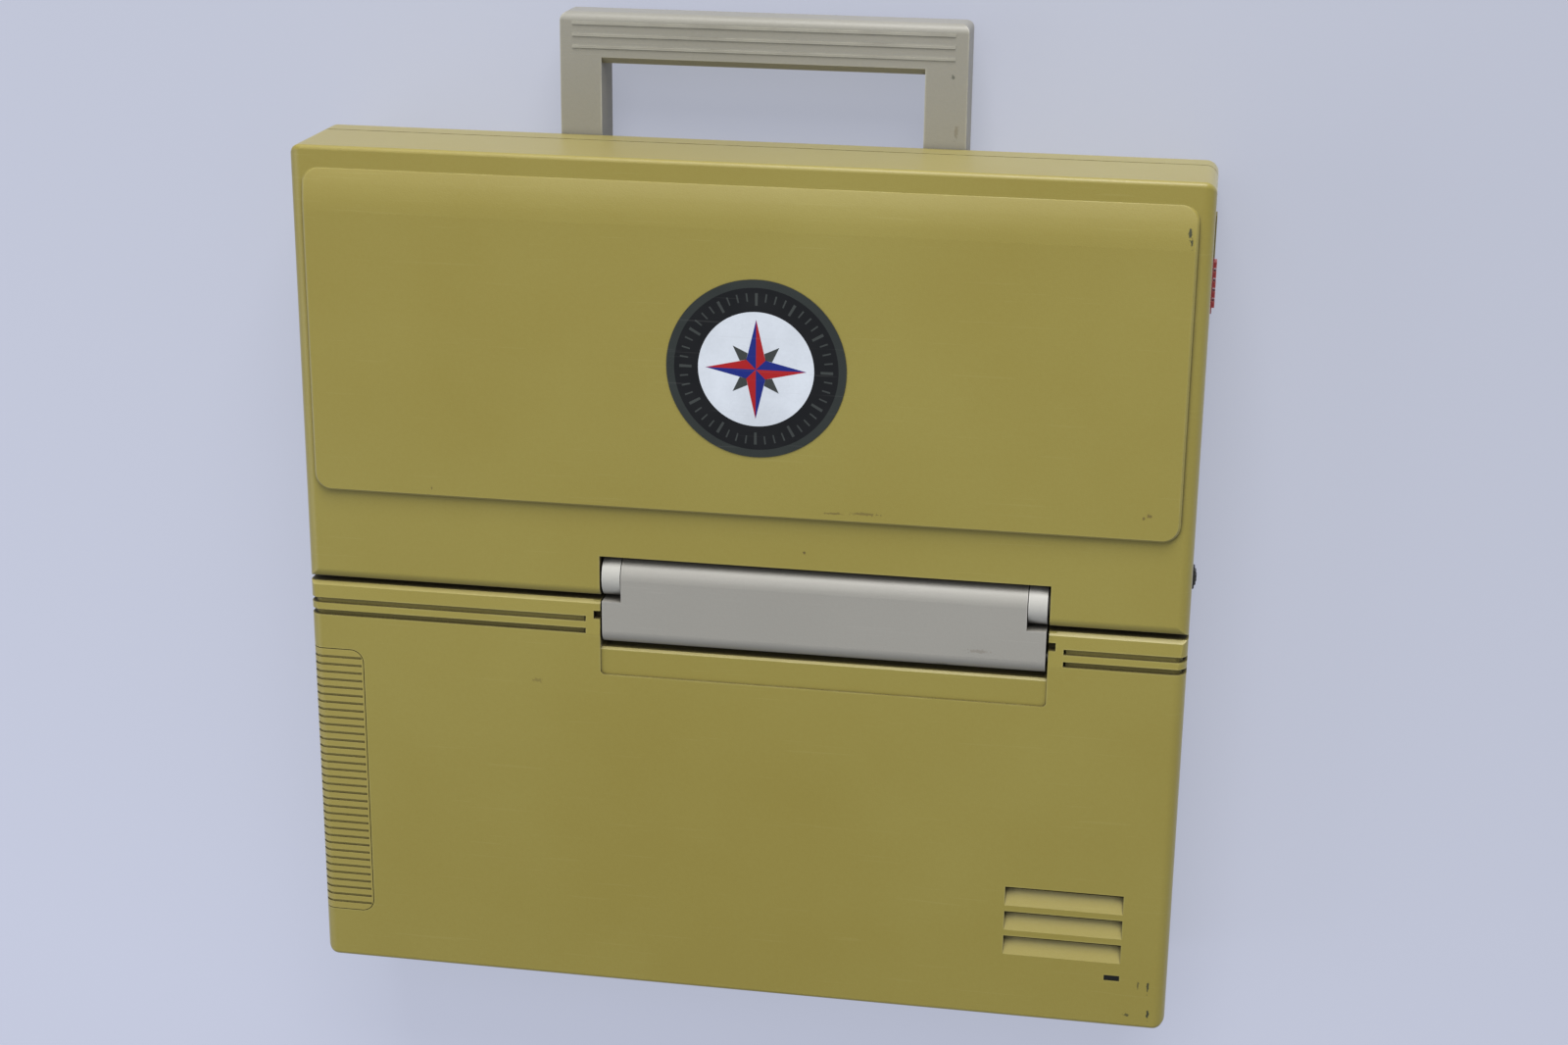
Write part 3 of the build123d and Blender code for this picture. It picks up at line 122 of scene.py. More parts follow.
def maths(tree, operation, *values):
    """One Math node."""
    node = tree.nodes.new("ShaderNodeMath")
    node.operation = operation
    for socket, value in zip(node.inputs, values):
        put(tree, socket, value)
    return node.outputs[0]


def stretch(tree, value, low, high, new_low=0.0, new_high=1.0):
    """Maps values from low..high to new_low..new_high, and holds them there."""
    node = tree.nodes.new("ShaderNodeMapRange")
    for socket, number in zip(node.inputs, (value, low, high, new_low, new_high)):
        put(tree, socket, number)
    return node.outputs[0]


def mix(tree, factor, first, second):
    """First colour at factor 0, second at factor 1."""
    node = tree.nodes.new("ShaderNodeMix")
    node.data_type = "RGBA"
    put(tree, node.inputs[0], factor)
    put(tree, node.inputs[6], first)
    put(tree, node.inputs[7], second)
    return node.outputs[2]


def add_bump(tree, shader, height, distance):
    """Lets a height pattern shade the surface."""
    node = tree.nodes.new("ShaderNodeBump")
    node.inputs["Distance"].default_value = distance
    node.inputs["Strength"].default_value = 1.0
    put(tree, node.inputs["Height"], height)
    tree.links.new(node.outputs[0], shader.inputs["Normal"])


floor_half = 4.0
floor_glow_share = 0.68
glow_reach = 0.3
glow_slant = 0.3
floor_mesh = bpy.data.meshes.new("studio_floor")
floor_z = cad_box[0][2]
floor_corners = [(-1, -1), (1, -1), (1, 1), (-1, 1)]
floor_mesh.from_pydata(
    [(x * floor_half, y * floor_half, floor_z) for x, y in floor_corners], [], [(0, 1, 2, 3)]
)
floor = bpy.data.objects.new("studio_floor", floor_mesh)
bpy.context.scene.collection.objects.link(floor)
floor_paper, tree, shader = new_material("floor_paper")
put(tree, shader.inputs["Base Color"], mix(tree, noise(tree, 3.0), srgb(207, 211, 229), srgb(212, 216, 234)))
shader.inputs["Roughness"].default_value = 0.9
ray = tree.nodes.new("ShaderNodeLightPath").outputs
mirrored = maths(tree, "MAXIMUM", ray["Is Glossy Ray"], ray["Is Transmission Ray"])
seen = maths(tree, "MAXIMUM", ray["Is Camera Ray"], mirrored)
glow = tree.nodes.new("ShaderNodeEmission")
split = tree.nodes.new("ShaderNodeSeparateXYZ")
put(tree, split.inputs[0], tree.nodes.new("ShaderNodeTexCoord").outputs["Object"])
sideways = maths(tree, "MULTIPLY", split.outputs["X"], glow_slant)
along = maths(tree, "ADD", split.outputs["Y"], sideways)
toward_rear = stretch(tree, along, -glow_reach, glow_reach)
put(tree, glow.inputs["Color"], mix(tree, toward_rear, srgb(176, 180, 193), srgb(198, 203, 223)))
even_floor = tree.nodes.new("ShaderNodeMixShader")
put(tree, even_floor.inputs[0], maths(tree, "MULTIPLY", seen, floor_glow_share))
tree.links.new(shader.outputs[0], even_floor.inputs[1])
tree.links.new(glow.outputs[0], even_floor.inputs[2])
tree.links.new(even_floor.outputs[0], tree.nodes["Material Output"].inputs["Surface"])
floor_mesh.materials.append(floor_paper)

world = bpy.data.worlds.new("studio_air")
world.use_nodes = True
world.node_tree.nodes["Background"].inputs["Color"].default_value = srgb(226, 232, 244)
world.node_tree.nodes["Background"].inputs["Strength"].default_value = 0.37
bpy.context.scene.world = world


def add_lamp(name, place, aim, size, power, colour):
    """A square area lamp that faces a point."""
    data = bpy.data.lights.new(name, "AREA")
    data.size = size
    data.energy = power
    data.color = colour
    lamp = bpy.data.objects.new(name, data)
    lamp.location = place
    lamp.rotation_euler = (Vector(aim) - Vector(place)).to_track_quat("-Z", "Y").to_euler()
    bpy.context.scene.collection.objects.link(lamp)


case_middle = (0.0, 0.0, 0.05)
front_wall = (0.0, -0.1, 0.03)
add_lamp("front_lamp", (-0.3, -2.2, 1.25), case_middle, 1.6, 62.0, (1.0, 0.985, 0.96))
add_lamp("sheen_panel", (0.3, -0.95, 2.2), case_middle, 1.0, 9.0, (0.97, 0.98, 1.0))
add_lamp("wall_light", (0.1, -2.0, 0.35), front_wall, 1.0, 7.0, (0.94, 0.97, 1.0))
add_lamp("side_fill", (1.9, 0.3, 1.3), case_middle, 1.4, 9.0, (0.95, 0.97, 1.0))


# Case shells: top case with the rear deck, bottom case and lid, injection moulded in ABS that sunlight has
# yellowed. Fine mould grain, paler rubbed edges, grime and painted shade in the grooves, a thin dust film and
# a few scuffs.
def make_group(name, inputs, outputs):
    """An empty shader group with named sockets; gives its tree, its input sockets and its output node."""
    tree = bpy.data.node_groups.new(name, "ShaderNodeTree")
    for socket, kind, default in inputs:
        tree.interface.new_socket(socket, in_out="INPUT", socket_type=kind).default_value = default
    for socket, kind in outputs:
        tree.interface.new_socket(socket, in_out="OUTPUT", socket_type=kind)
    return tree, tree.nodes.new("NodeGroupInput").outputs, tree.nodes.new("NodeGroupOutput")


def use_group(tree, group, **values):
    """Places a group in a material with its own values; a socket name's spaces are written as underscores."""
    node = tree.nodes.new("ShaderNodeGroup")
    node.node_tree = group
    for socket, value in values.items():
        put(tree, node.inputs[socket.replace("_", " ")], value)
    return node.outputs


def make_edge_wear():
    """Mask of the edges and corners that rubbing has reached."""
    tree, given, result = make_group(
        "edge_wear",
        [("Width", "NodeSocketFloat", 0.001), ("Amount", "NodeSocketFloat", 1.0)],
        [("Mask", "NodeSocketFloat")],
    )
    rounded = tree.nodes.new("ShaderNodeBevel")
    rounded.samples = 6
    put(tree, rounded.inputs["Radius"], given["Width"])
    facing = tree.nodes.new("ShaderNodeVectorMath")
    facing.operation = "DOT_PRODUCT"
    put(tree, facing.inputs[0], rounded.outputs[0])
    put(tree, facing.inputs[1], tree.nodes.new("ShaderNodeNewGeometry").outputs["Normal"])
    edge = stretch(tree, facing.outputs["Value"], 1.0, 0.86)
    patchy = stretch(tree, noise(tree, 70.0, 4.0), 0.35, 0.6, 0.25, 1.0)
    mask = maths(tree, "MULTIPLY", maths(tree, "MULTIPLY", edge, patchy), given["Amount"])
    put(tree, result.inputs["Mask"], mask)
    return tree


def make_corner_grime_and_shade():
    """Mask of the grooves, gaps and inner corners, from ambient occlusion, for dirt and for painted shade."""
    tree, given, result = make_group(
        "corner_grime_and_shade",
        [("Reach", "NodeSocketFloat", 0.003), ("Amount", "NodeSocketFloat", 1.0)],
        [("Mask", "NodeSocketFloat")],
    )
    shade = tree.nodes.new("ShaderNodeAmbientOcclusion")
    shade.samples = 6
    put(tree, shade.inputs["Distance"], given["Reach"])
    corner = stretch(tree, shade.outputs["AO"], 0.8, 0.3)
    mask = maths(tree, "MULTIPLY", corner, given["Amount"])
    put(tree, result.inputs["Mask"], mask)
    return tree


def make_uneven_tone():
    """Uneven ageing: two tones in broad soft patches, with a fine speckle over them."""
    tree, given, result = make_group(
        "uneven_tone",
        [
            ("Pale", "NodeSocketColor", (0.5, 0.5, 0.5, 1.0)),
            ("Deep", "NodeSocketColor", (0.4, 0.4, 0.4, 1.0)),
            ("Patch Scale", "NodeSocketFloat", 9.0),
        ],
        [("Color", "NodeSocketColor")],
    )
    patches = stretch(tree, noise(tree, given["Patch Scale"], 3.0), 0.3, 0.7)
    speckle = stretch(tree, noise(tree, 900.0, 2.0), 0.3, 0.7, -0.12, 0.12)
    put(
        tree, result.inputs["Color"],
        mix(tree, maths(tree, "ADD", patches, speckle), given["Pale"], given["Deep"]),
    )
    return tree


def make_fine_scratches():
    """Mask of thin straight scratches that lie mostly one way."""
    tree, given, result = make_group(
        "fine_scratches",
        [("Amount", "NodeSocketFloat", 1.0)],
        [("Mask", "NodeSocketFloat")],
    )
    lines = None
    for number, angle in enumerate((0.35, 1.25, 2.4)):
        turned = tree.nodes.new("ShaderNodeMapping")
        put(tree, turned.inputs["Vector"], tree.nodes.new("ShaderNodeTexCoord").outputs["Object"])
        turned.inputs["Location"].default_value = (0.31 * number, 0.17, 0.0)
        turned.inputs["Rotation"].default_value = (0.0, 0.0, angle)
        turned.inputs["Scale"].default_value = (26.0, 1100.0, 26.0)
        line = stretch(tree, noise(tree, 1.0, 1.0, turned.outputs[0]), 0.735, 0.77)
        lines = line if lines is None else maths(tree, "MAXIMUM", lines, line)
    put(tree, result.inputs["Mask"], maths(tree, "MULTIPLY", lines, given["Amount"]))
    return tree


def make_scuff():
    """Mask of one small ragged mark at a place on the surface."""
    tree, given, result = make_group(
        "scuff",
        [
            ("Place", "NodeSocketVector", (0.0, 0.0, 0.0)),
            ("Squeeze", "NodeSocketVector", (1.0, 1.0, 1.0)),
            ("Size", "NodeSocketFloat", 0.003),
        ],
        [("Mask", "NodeSocketFloat")],
    )
    offset = tree.nodes.new("ShaderNodeVectorMath")
    offset.operation = "SUBTRACT"
    put(tree, offset.inputs[0], tree.nodes.new("ShaderNodeTexCoord").outputs["Object"])
    put(tree, offset.inputs[1], given["Place"])
    squeezed = tree.nodes.new("ShaderNodeVectorMath")
    squeezed.operation = "MULTIPLY"
    put(tree, squeezed.inputs[0], offset.outputs[0])
    put(tree, squeezed.inputs[1], given["Squeeze"])
    length = tree.nodes.new("ShaderNodeVectorMath")
    length.operation = "LENGTH"
    put(tree, length.inputs[0], squeezed.outputs[0])
    ragged = stretch(tree, noise(tree, 1500.0, 3.0), 0.3, 0.7, 0.5, 1.6)
    share = maths(tree, "DIVIDE", maths(tree, "MULTIPLY", length.outputs["Value"], ragged), given["Size"])
    put(tree, result.inputs["Mask"], stretch(tree, share, 1.0, 0.7))
    return tree


edge_wear = make_edge_wear()
corner_grime_and_shade = make_corner_grime_and_shade()
uneven_tone = make_uneven_tone()
fine_scratches = make_fine_scratches()
scuff = make_scuff()
grain_scale = 2300.0
grain_depth = 0.00004
scratch_share = 0.05
wear_width = 0.001
# Reach of the corner mask: wide enough that grime and painted shade also darken the louvre slopes and pocket.
grime_and_shade_reach = 0.004
rubbed_gloss = 0.12
grime_roughness = 0.4
plastic_specular = 0.6
film_softness = 0.4


def moulded_plastic(name, pale, deep, worn, grime_and_shade_tone, roughness, wear, dirt_and_shade, marks=(), dust=0.0):
    """Grained moulded plastic, of two tones with worn edges, and with grime and painted shade in its corners.

    Marks are (colour, place, squeeze, size, strength) of scuffs, and dust is the share of a fine film
    that shows at flat angles.
    """
    material, tree, shader = new_material(name)
    colour = use_group(tree, uneven_tone, Pale=pale, Deep=deep)["Color"]
    scratch = use_group(tree, fine_scratches, Amount=scratch_share)["Mask"]
    colour = mix(tree, scratch, colour, worn)
    edge = use_group(tree, edge_wear, Width=wear_width, Amount=wear)["Mask"]
    colour = mix(tree, edge, colour, worn)
    # Grooves, gaps and inner corners take the grime tone: partly dirt and dust, partly painted shade where
    # the tone is darker.
    grimy_and_shaded = use_group(tree, corner_grime_and_shade, Reach=grime_and_shade_reach, Amount=dirt_and_shade)["Mask"]
    colour = mix(tree, grimy_and_shaded, colour, grime_and_shade_tone)
    for mark_colour, place, squeeze, size, strength in marks:
        mask = use_group(tree, scuff, Place=place, Squeeze=squeeze, Size=size)["Mask"]
        colour = mix(tree, maths(tree, "MULTIPLY", mask, strength), colour, mark_colour)
    put(tree, shader.inputs["Base Color"], colour)
    gloss = stretch(tree, noise(tree, 40.0, 4.0), 0.3, 0.7, roughness - 0.015, roughness + 0.02)
    gloss = maths(tree, "SUBTRACT", gloss, maths(tree, "MULTIPLY", edge, rubbed_gloss))
    matt = maths(tree, "MULTIPLY", grimy_and_shaded, grime_roughness)
    put(tree, shader.inputs["Roughness"], maths(tree, "ADD", gloss, matt))
    shader.inputs["Specular IOR Level"].default_value = plastic_specular
    film = maths(tree, "MULTIPLY", maths(tree, "SUBTRACT", 1.0, grimy_and_shaded), dust)
    put(tree, shader.inputs["Sheen Weight"], film)
    shader.inputs["Sheen Roughness"].default_value = film_softness
    add_bump(tree, shader, noise(tree, grain_scale, 2.0), grain_depth)
    return material


dressed = set()


def dress(material, *names):
    """Gives CAD nodes a material."""
    for name in names:
        for slot in nodes[name].material_slots:
            slot.material = material
        dressed.add(name)


dark_green = srgb(38, 46, 34)
brown = srgb(92, 74, 40)
case_marks = [
    (dark_green, (-0.1478, -0.1160, 0.0668), (2.6, 0.9, 1.0), 0.0016, 0.9),
    (dark_green, (-0.1485, -0.1132, 0.0666), (3.0, 0.7, 1.0), 0.0012, 0.85),
    (dark_green, (-0.1488, -0.1109, 0.0664), (3.0, 1.2, 1.0), 0.0009, 0.7),
    (dark_green, (-0.1490, 0.1560, 0.0650), (3.4, 0.8, 1.0), 0.0016, 0.85),
    (dark_green, (-0.1455, 0.1556, 0.0650), (3.4, 0.9, 1.0), 0.0013, 0.6),
    (dark_green, (-0.1495, 0.1668, 0.0650), (2.6, 0.8, 1.0), 0.0014, 0.9),
    (dark_green, (-0.1422, 0.1677, 0.0650), (0.8, 1.8, 1.0), 0.0010, 0.7),
    (brown, (-0.1400, -0.0200, 0.0670), (0.9, 1.2, 1.0), 0.0009, 0.6),
    (brown, (-0.1382, -0.0190, 0.0670), (1.2, 0.9, 1.0), 0.0006, 0.6),
    (brown, (-0.0440, -0.0145, 0.0668), (0.22, 2.2, 1.0), 0.0012, 0.5),
    (brown, (-0.0340, -0.0140, 0.0668), (0.30, 2.4, 1.0), 0.0010, 0.55),
    (brown, (-0.0235, 0.0015, 0.0648), (1.2, 1.2, 1.0), 0.0008, 0.8),
    (brown, (0.1080, -0.0140, 0.0668), (1.4, 1.4, 1.0), 0.0006, 0.8),
    (brown, (0.0720, 0.0560, 0.0650), (0.6, 1.6, 1.0), 0.0012, 0.35),
]
# The case's darkest tone is grime and painted shade for its grooves, gaps and louvre slopes.
case_plastic = moulded_plastic(
    "case_plastic", srgb(154, 142, 68), srgb(148, 134, 58), srgb(200, 192, 130), srgb(54, 45, 15), 0.39,
    wear=0.28, dirt_and_shade=1.0, marks=case_marks, dust=0.2,
)
dress(case_plastic, "top_case", "bottom_case", "lid_shell")


# Battery cover and lid latches: ABS from other moulds, so they have aged a touch paler than the case.
# The ribbed cover slides off sideways to free the pack, and each latch slides back against a spring.
cover_plastic = moulded_plastic(
    "cover_plastic", srgb(160, 146, 72), srgb(153, 138, 62), srgb(200, 192, 130), srgb(54, 45, 15), 0.41,
    wear=0.15, dirt_and_shade=1.0, dust=0.2,
)
dress(cover_plastic, "battery_cover", "latch_left", "latch_right")


# Carrying handle: one U-shaped moulding of a grey beige plastic that has yellowed far less than the case.
# It slides out of the front on two rails, and its three ribs give grip.
handle_marks = [
    (dark_green, (-0.0655, -0.1565, 0.0236), (1.4, 1.0, 0.4), 0.0009, 0.6),
    (brown, (-0.0670, -0.1380, 0.0236), (1.6, 0.5, 1.0), 0.0012, 0.35),
]
handle_plastic = moulded_plastic(
    "handle_plastic", srgb(147, 144, 134), srgb(139, 136, 124), srgb(196, 194, 180), srgb(88, 80, 56), 0.42,
    wear=0.55, dirt_and_shade=0.5, marks=handle_marks,
)
dress(handle_plastic, "handle")


# Hinge arm and its end knuckles: light grey mouldings that hold the lid's shaft. The arm tilts at its rear
# edge and the lid turns at its front one. The knuckles are whiter than the arm.
arm_marks = [
    (brown, (-0.0850, 0.0330, 0.0650), (0.3, 1.4, 1.0), 0.0012, 0.25),
    (dark_green, (-0.0720, 0.0395, 0.0640), (0.3, 1.0, 1.0), 0.0009, 0.5),
]
# The dark grime tones of the arm and knuckles also paint the shade in the gap between them.
arm_plastic = moulded_plastic(
    "arm_plastic", srgb(160, 157, 149), srgb(153, 150, 142), srgb(206, 204, 198), srgb(52, 48, 40), 0.42,
    wear=0.35, dirt_and_shade=0.85, marks=arm_marks,
)
knuckle_plastic = moulded_plastic(
    "knuckle_plastic", srgb(188, 186, 179), srgb(181, 179, 170), srgb(212, 211, 205), srgb(52, 48, 40), 0.5,
    wear=0.35, dirt_and_shade=0.9,
)
dress(arm_plastic, "hinge_arm")
dress(knuckle_plastic, "lid_knuckles")


# Small dark window over the battery light, clipped into the rear deck: smoked plastic gone half matt.
def smooth_plastic(name, pale, deep, roughness):
    """Polished moulded plastic without mould grain, with slight unevenness of tone and gloss."""
    material, tree, shader = new_material(name)
    colour = use_group(tree, uneven_tone, Pale=pale, Deep=deep, Patch_Scale=30.0)["Color"]
    put(tree, shader.inputs["Base Color"], colour)
    gloss = stretch(tree, noise(tree, 120.0, 3.0), 0.3, 0.7, roughness * 0.8, roughness * 1.2)
    put(tree, shader.inputs["Roughness"], gloss)
    add_bump(tree, shader, noise(tree, 300.0, 2.0), 0.00001)
    return material


window_plastic = smooth_plastic("window_plastic", srgb(20, 20, 14), srgb(15, 15, 11), 0.34)
dress(window_plastic, "indicator_window")


# Red slide switch on the left side, with grip ribs. The red has faded and its rubbed ribs are pinkish.
red_plastic = moulded_plastic(
    "red_plastic", srgb(168, 52, 58), srgb(150, 40, 48), srgb(204, 120, 118), srgb(70, 18, 22), 0.38,
    wear=0.9, dirt_and_shade=0.6,
)
dress(red_plastic, "power_switch")


# Black and dark grey mouldings: battery tray, handle rails, drive and connector bodies, contrast wheel,
# keyboard plate, speaker cone and the cell pack. Fine grain, half matt, dust in the corners.
dark_plastic = moulded_plastic(
    "dark_plastic", srgb(46, 46, 49), srgb(38, 38, 41), srgb(84, 84, 86), srgb(92, 88, 78), 0.48,
    wear=0.4, dirt_and_shade=0.3,
)
dress(
    dark_plastic, "handle_rails", "battery_tray", "screen_frame", "switch_body", "contrast_wheel",
    "contrast_control", "rear_connectors", "speaker", "keyboard_plate",
)
component_plastic = smooth_plastic("component_plastic", srgb(34, 34, 36), srgb(26, 26, 28), 0.35)
dress(component_plastic, "board_chips", "power_parts")
pack_plastic = moulded_plastic(
    "pack_plastic", srgb(40, 40, 42), srgb(32, 32, 34), srgb(80, 80, 80), srgb(80, 76, 66), 0.55,
    wear=0.5, dirt_and_shade=0.3,
)
dress(pack_plastic, "battery_pack")


# Feet and lid pads: dark grey moulded rubber, matt and a little dusty, glued into shallow seats.
def make_rubber():
    """Matt rubber, dusty on its edges."""
    material, tree, shader = new_material("foot_rubber")
    tones = use_group(tree, uneven_tone, Pale=srgb(50, 49, 47), Deep=srgb(36, 36, 35), Patch_Scale=60.0)
    dust = use_group(tree, edge_wear, Width=0.001, Amount=0.5)["Mask"]
    put(tree, shader.inputs["Base Color"], mix(tree, dust, tones["Color"], srgb(116, 112, 102)))
    shader.inputs["Roughness"].default_value = 0.85
    add_bump(tree, shader, noise(tree, 1600.0, 3.0), 0.00006)
    return material


dress(make_rubber(), "bottom_feet", "rear_feet", "rim_pads")


# Diskette drives: zinc plated steel bodies, each behind a grey beige bezel with its slot and a blue
# eject button. Brackets and screws are the same plated steel, the hinge pins are dark oiled steel and
# the pack's contacts are brass.
def brushed_metal(name, pale, deep, roughness, stroke):
    """Bare metal with fine strokes along one axis."""
    material, tree, shader = new_material(name)
    turned = tree.nodes.new("ShaderNodeMapping")
    put(tree, turned.inputs["Vector"], tree.nodes.new("ShaderNodeTexCoord").outputs["Object"])
    turned.inputs["Scale"].default_value = stroke
    strokes = noise(tree, 1.0, 3.0, turned.outputs[0])
    patches = noise(tree, 35.0, 3.0)
    tone = maths(tree, "ADD", maths(tree, "MULTIPLY", strokes, 0.5), maths(tree, "MULTIPLY", patches, 0.5))
    put(tree, shader.inputs["Base Color"], mix(tree, stretch(tree, tone, 0.35, 0.65), pale, deep))
    shader.inputs["Metallic"].default_value = 1.0
    put(tree, shader.inputs["Roughness"], stretch(tree, strokes, 0.3, 0.7, roughness - 0.08, roughness + 0.1))
    add_bump(tree, shader, strokes, 0.00001)
    return material


zinc_steel = brushed_metal("zinc_steel", srgb(196, 196, 192), srgb(168, 168, 164), 0.34, (60.0, 1600.0, 60.0))
bare_brass = brushed_metal("bare_brass", srgb(206, 176, 104), srgb(176, 146, 80), 0.32, (1400.0, 90.0, 90.0))
dress(zinc_steel, "hinge_brackets", "drive_front", "drive_rear", "case_screws", "lid_screws")
pin_steel = brushed_metal("pin_steel", srgb(92, 90, 86), srgb(70, 68, 64), 0.5, (1600.0, 60.0, 60.0))
dress(pin_steel, "lid_pin", "arm_pin")
dress(bare_brass, "battery_contacts")
bezel_plastic = moulded_plastic(
    "bezel_plastic", srgb(170, 165, 140), srgb(162, 156, 130), srgb(205, 201, 182), srgb(86, 80, 60), 0.45,
    wear=0.4, dirt_and_shade=0.5,
)
dress(bezel_plastic, "drive_bezel_front", "drive_bezel_rear")
button_plastic = moulded_plastic(
    "button_plastic", srgb(62, 84, 140), srgb(52, 72, 128), srgb(120, 136, 176), srgb(24, 30, 50), 0.4,
    wear=0.6, dirt_and_shade=0.4,
)
dress(button_plastic, "eject_button_front", "eject_button_rear")


# Circuit boards: green glass laminate under lacquer, with copper tracks and pads that show through it.
def make_laminate():
    """Green lacquered board with straight tracks and round pads."""
    material, tree, shader = new_material("board_laminate")
    place = tree.nodes.new("ShaderNodeTexCoord").outputs["Object"]
    tracks = tree.nodes.new("ShaderNodeTexVoronoi")
    tracks.distance = "CHEBYCHEV"
    tracks.feature = "F2"
    put(tree, tracks.inputs["Vector"], place)
    tracks.inputs["Scale"].default_value = 190.0
    track = stretch(tree, maths(tree, "PINGPONG", tracks.outputs["Distance"], 0.12), 0.03, 0.05)
    pads = tree.nodes.new("ShaderNodeTexVoronoi")
    put(tree, pads.inputs["Vector"], place)
    pads.inputs["Scale"].default_value = 390.0
    pads.inputs["Randomness"].default_value = 0.0
    pad = stretch(tree, pads.outputs["Distance"], 0.20, 0.16)
    green = mix(tree, track, srgb(52, 118, 66), srgb(22, 82, 44))
    put(tree, shader.inputs["Base Color"], mix(tree, pad, green, srgb(176, 168, 120)))
    put(tree, shader.inputs["Metallic"], maths(tree, "MULTIPLY", pad, 0.8))
    shader.inputs["Roughness"].default_value = 0.3
    shader.inputs["Coat Weight"].default_value = 0.4
    add_bump(tree, shader, track, 0.00003)
    return material


dress(make_laminate(), "main_board", "power_board", "screen_board")


# Keyboard: keycaps in pale beige over the dark key plate, the outer keys a greyer beige.
# The caps are double shot mouldings, fine grained, shiny where fingers have rubbed them.
key_plastic = moulded_plastic(
    "key_plastic", srgb(204, 198, 172), srgb(196, 189, 160), srgb(226, 222, 204), srgb(120, 110, 80), 0.40,
    wear=0.4, dirt_and_shade=0.25,
)
grey_key_plastic = moulded_plastic(
    "grey_key_plastic", srgb(158, 153, 134), srgb(150, 145, 124), srgb(188, 184, 168), srgb(84, 78, 60), 0.40,
    wear=0.4, dirt_and_shade=0.25,
)
dress(key_plastic, "space_bar", "keys_row_shift", "keys_row_home", "keys_row_upper", "keys_row_number")
dress(grey_key_plastic, "keys_bottom_left", "keys_bottom_right", "keys_row_function")


# Screen: a grey beige bezel in the lid round a matt liquid crystal panel, which is grey green when off.
# Its 640 by 200 picture points show as a very fine grid.
dress(bezel_plastic, "screen_bezel")


def make_display():
    """The switched off panel: grey green, with its grid of picture points and a matt front film."""
    material, tree, shader = new_material("display_glass")
    window_low, window_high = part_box("screen_glass")
    columns = 640 / (window_high.x - window_low.x)
    rows = 200 / (window_high.y - window_low.y)
    split = tree.nodes.new("ShaderNodeSeparateXYZ")
    put(tree, split.inputs[0], tree.nodes.new("ShaderNodeTexCoord").outputs["Object"])
    across = maths(tree, "PINGPONG", maths(tree, "MULTIPLY", split.outputs["X"], columns), 0.5)
    along = maths(tree, "PINGPONG", maths(tree, "MULTIPLY", split.outputs["Y"], rows), 0.5)
    line = maths(tree, "MAXIMUM", stretch(tree, across, 0.08, 0.03), stretch(tree, along, 0.08, 0.03))
    tones = use_group(
        tree, uneven_tone, Pale=srgb(126, 136, 112), Deep=srgb(118, 129, 106), Patch_Scale=12.0
    )
    put(tree, shader.inputs["Base Color"], mix(tree, line, tones["Color"], srgb(104, 114, 94)))
    put(tree, shader.inputs["Roughness"], stretch(tree, noise(tree, 900.0, 2.0), 0.3, 0.7, 0.25, 0.32))
    shader.inputs["Coat Weight"].default_value = 0.3
    shader.inputs["Coat Roughness"].default_value = 0.2
    add_bump(tree, shader, noise(tree, 3000.0, 1.0), 0.00001)
    return material


dress(make_display(), "screen_glass")


# Round vinyl sticker on the lid's panel: a dark rim, a black ring with faint graduation ticks and a white
# disc with a compass rose in blue and red. Each colour is a thin printed layer on the film.
film_roughness = 0.28


def printed_film(name, colour):
    """One ink colour on glossy vinyl, slightly worn."""
    material, tree, shader = new_material(name)
    darker = tuple(part * 0.86 for part in colour[:3]) + (1.0,)
    tone = use_group(tree, uneven_tone, Pale=colour, Deep=darker, Patch_Scale=60.0)["Color"]
    scratch = use_group(tree, fine_scratches, Amount=0.06)["Mask"]
    put(tree, shader.inputs["Base Color"], mix(tree, scratch, tone, srgb(150, 150, 146)))
    gloss = stretch(tree, noise(tree, 90.0, 3.0), 0.3, 0.7, film_roughness - 0.05, film_roughness + 0.08)
    put(tree, shader.inputs["Roughness"], gloss)
    shader.inputs["Coat Weight"].default_value = 0.15
    add_bump(tree, shader, noise(tree, 500.0, 2.0), 0.000012)
    return material


def flat_shapes(name, outlines, low, high, material, body):
    """Thin solid shapes between two heights, one for each closed outline of (x, y) points."""
    shape = bmesh.new()
    for outline in outlines:
        corners = [shape.verts.new((x, y, low)) for x, y in outline]
        face = shape.faces.new(corners)
        raised = bmesh.ops.extrude_face_region(shape, geom=[face])["geom"]
        for vertex in raised:
            if isinstance(vertex, bmesh.types.BMVert):
                vertex.co.z = high
    bmesh.ops.recalc_face_normals(shape, faces=shape.faces)
    mesh = bpy.data.meshes.new(name)
    shape.to_mesh(mesh)
    shape.free()
    mesh.materials.append(material)
    piece = bpy.data.objects.new(name, mesh)
    bpy.context.scene.collection.objects.link(piece)
    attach(piece, body)
    return piece


def on_circle(radius, degrees):
    """A point of the sticker at a radius and an angle from its centre."""
    angle = math.radians(degrees)
    return (sticker_x + radius * math.cos(angle), sticker_y + radius * math.sin(angle))


def full_circle(radius):
    """A closed outline round the sticker's centre."""
    return [on_circle(radius, 3 * step) for step in range(120)]


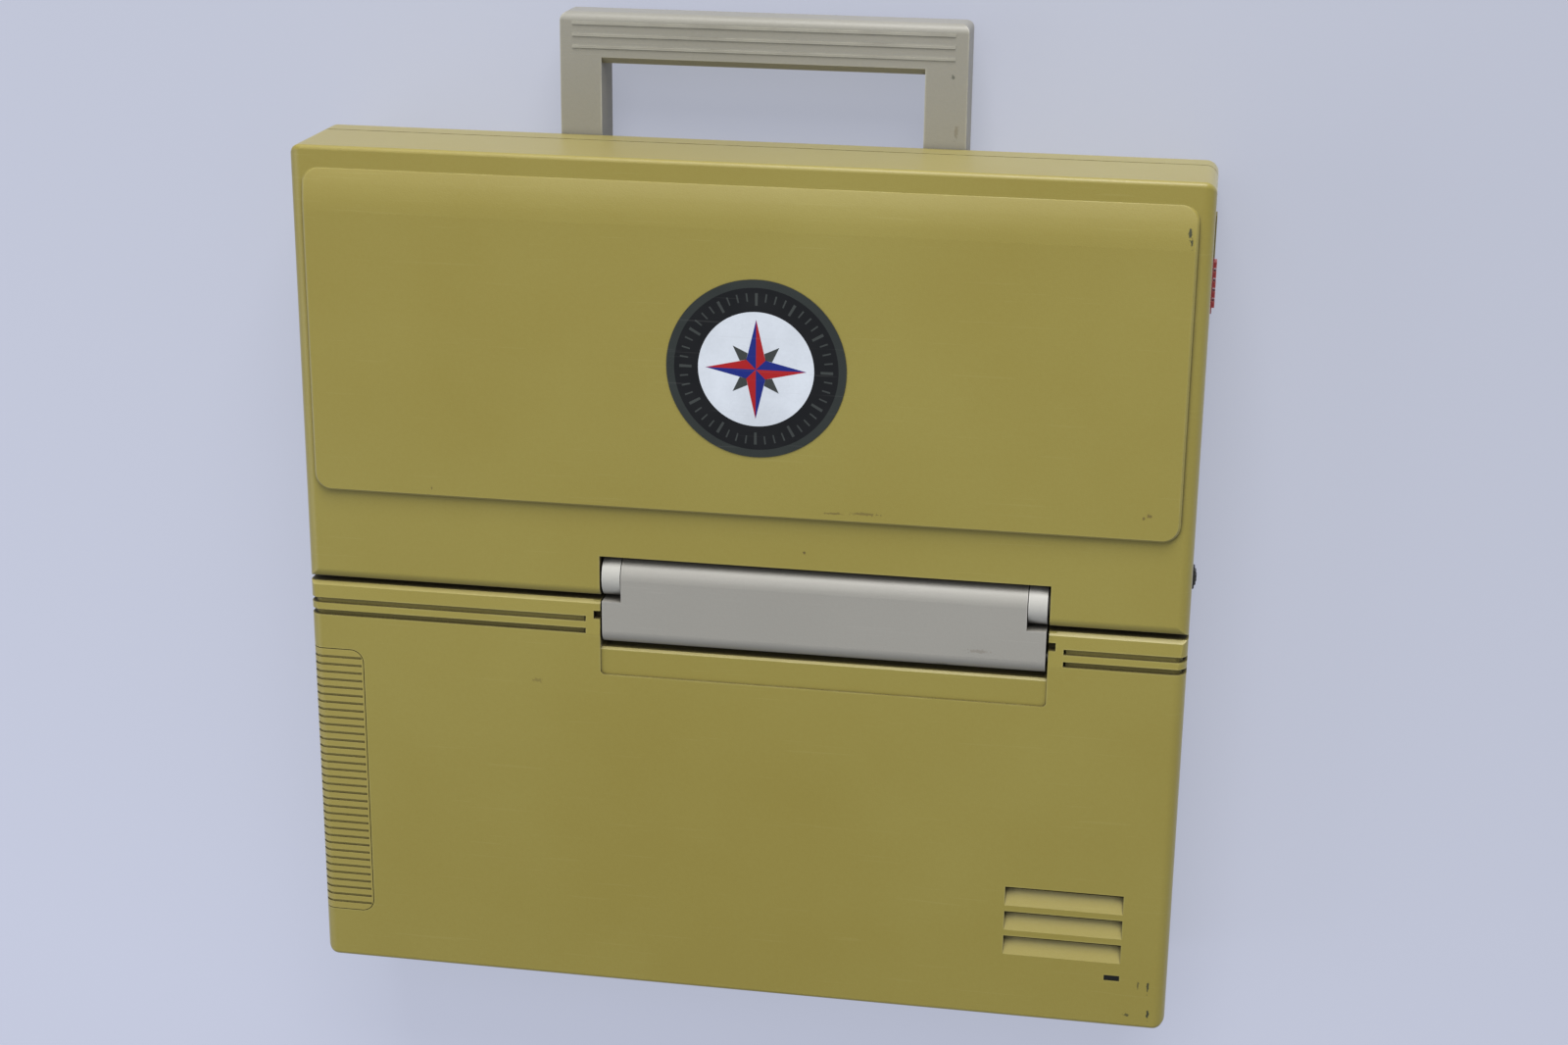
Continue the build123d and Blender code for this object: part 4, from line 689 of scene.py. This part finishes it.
sticker_low, sticker_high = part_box("round_sticker")
sticker_x = (sticker_low.x + sticker_high.x) / 2
sticker_y = (sticker_low.y + sticker_high.y) / 2
sticker_radius = (sticker_high.x - sticker_low.x) / 2
rim_width = 0.0027
disc_radius = 0.0198
ink = 0.00004
ring_radius = sticker_radius - rim_width
tick_count = 48
tick_outer = ring_radius - 0.0018
dress(printed_film("rim_ink", srgb(46, 51, 48)), "round_sticker")
ring_ink = printed_film("ring_ink", srgb(9, 10, 12))
white_ink = printed_film("white_ink", srgb(222, 228, 236))
blue_ink = printed_film("blue_ink", srgb(20, 38, 128))
red_ink = printed_film("red_ink", srgb(176, 24, 26))
grey_ink = printed_film("grey_ink", srgb(62, 66, 64))

ring_top = sticker_high.z + ink
ring = full_circle(ring_radius)
flat_shapes("sticker_ring", [ring], sticker_high.z - ink, ring_top, ring_ink, "lid")
disc = full_circle(disc_radius)
flat_shapes("sticker_disc", [disc], ring_top, ring_top + ink, white_ink, "lid")

ticks = []
for number in range(tick_count):
    middle = 360 / tick_count * number
    long_tick = number % 4 == 0
    inner = disc_radius + (0.0022 if long_tick else 0.0036)
    half = 1.1 if long_tick else 0.6
    ticks.append([
        on_circle(inner, middle - half), on_circle(tick_outer, middle - half),
        on_circle(tick_outer, middle + half), on_circle(inner, middle + half),
    ])
flat_shapes("sticker_ticks", ticks, ring_top, ring_top + ink, grey_ink, "lid")

rose_reach = 0.0172
rose_short_reach = 0.0112
rose_waist = 0.0046
diagonal_waist = 0.0062
diagonal_spread = 18
rose_z = ring_top + ink
centre = (sticker_x, sticker_y)
blue_halves = []
red_halves = []
grey_halves = []
for number in range(4):
    direction = 90 * number
    blue_halves.append([centre, on_circle(rose_reach, direction), on_circle(rose_waist, direction + 45)])
    red_halves.append([centre, on_circle(rose_waist, direction - 45), on_circle(rose_reach, direction)])
    diagonal = direction + 45
    grey_halves.append([
        on_circle(rose_waist, diagonal), on_circle(diagonal_waist, diagonal - diagonal_spread),
        on_circle(rose_short_reach, diagonal), on_circle(diagonal_waist, diagonal + diagonal_spread),
    ])
flat_shapes("rose_blue_points", blue_halves, rose_z, rose_z + ink, blue_ink, "lid")
flat_shapes("rose_red_points", red_halves, rose_z, rose_z + ink, red_ink, "lid")
flat_shapes("rose_grey_points", grey_halves, rose_z, rose_z + ink / 2, grey_ink, "lid")


undressed = sorted(set(nodes) - dressed)
if undressed:
    raise ValueError(f"nodes without a finish: {undressed}")
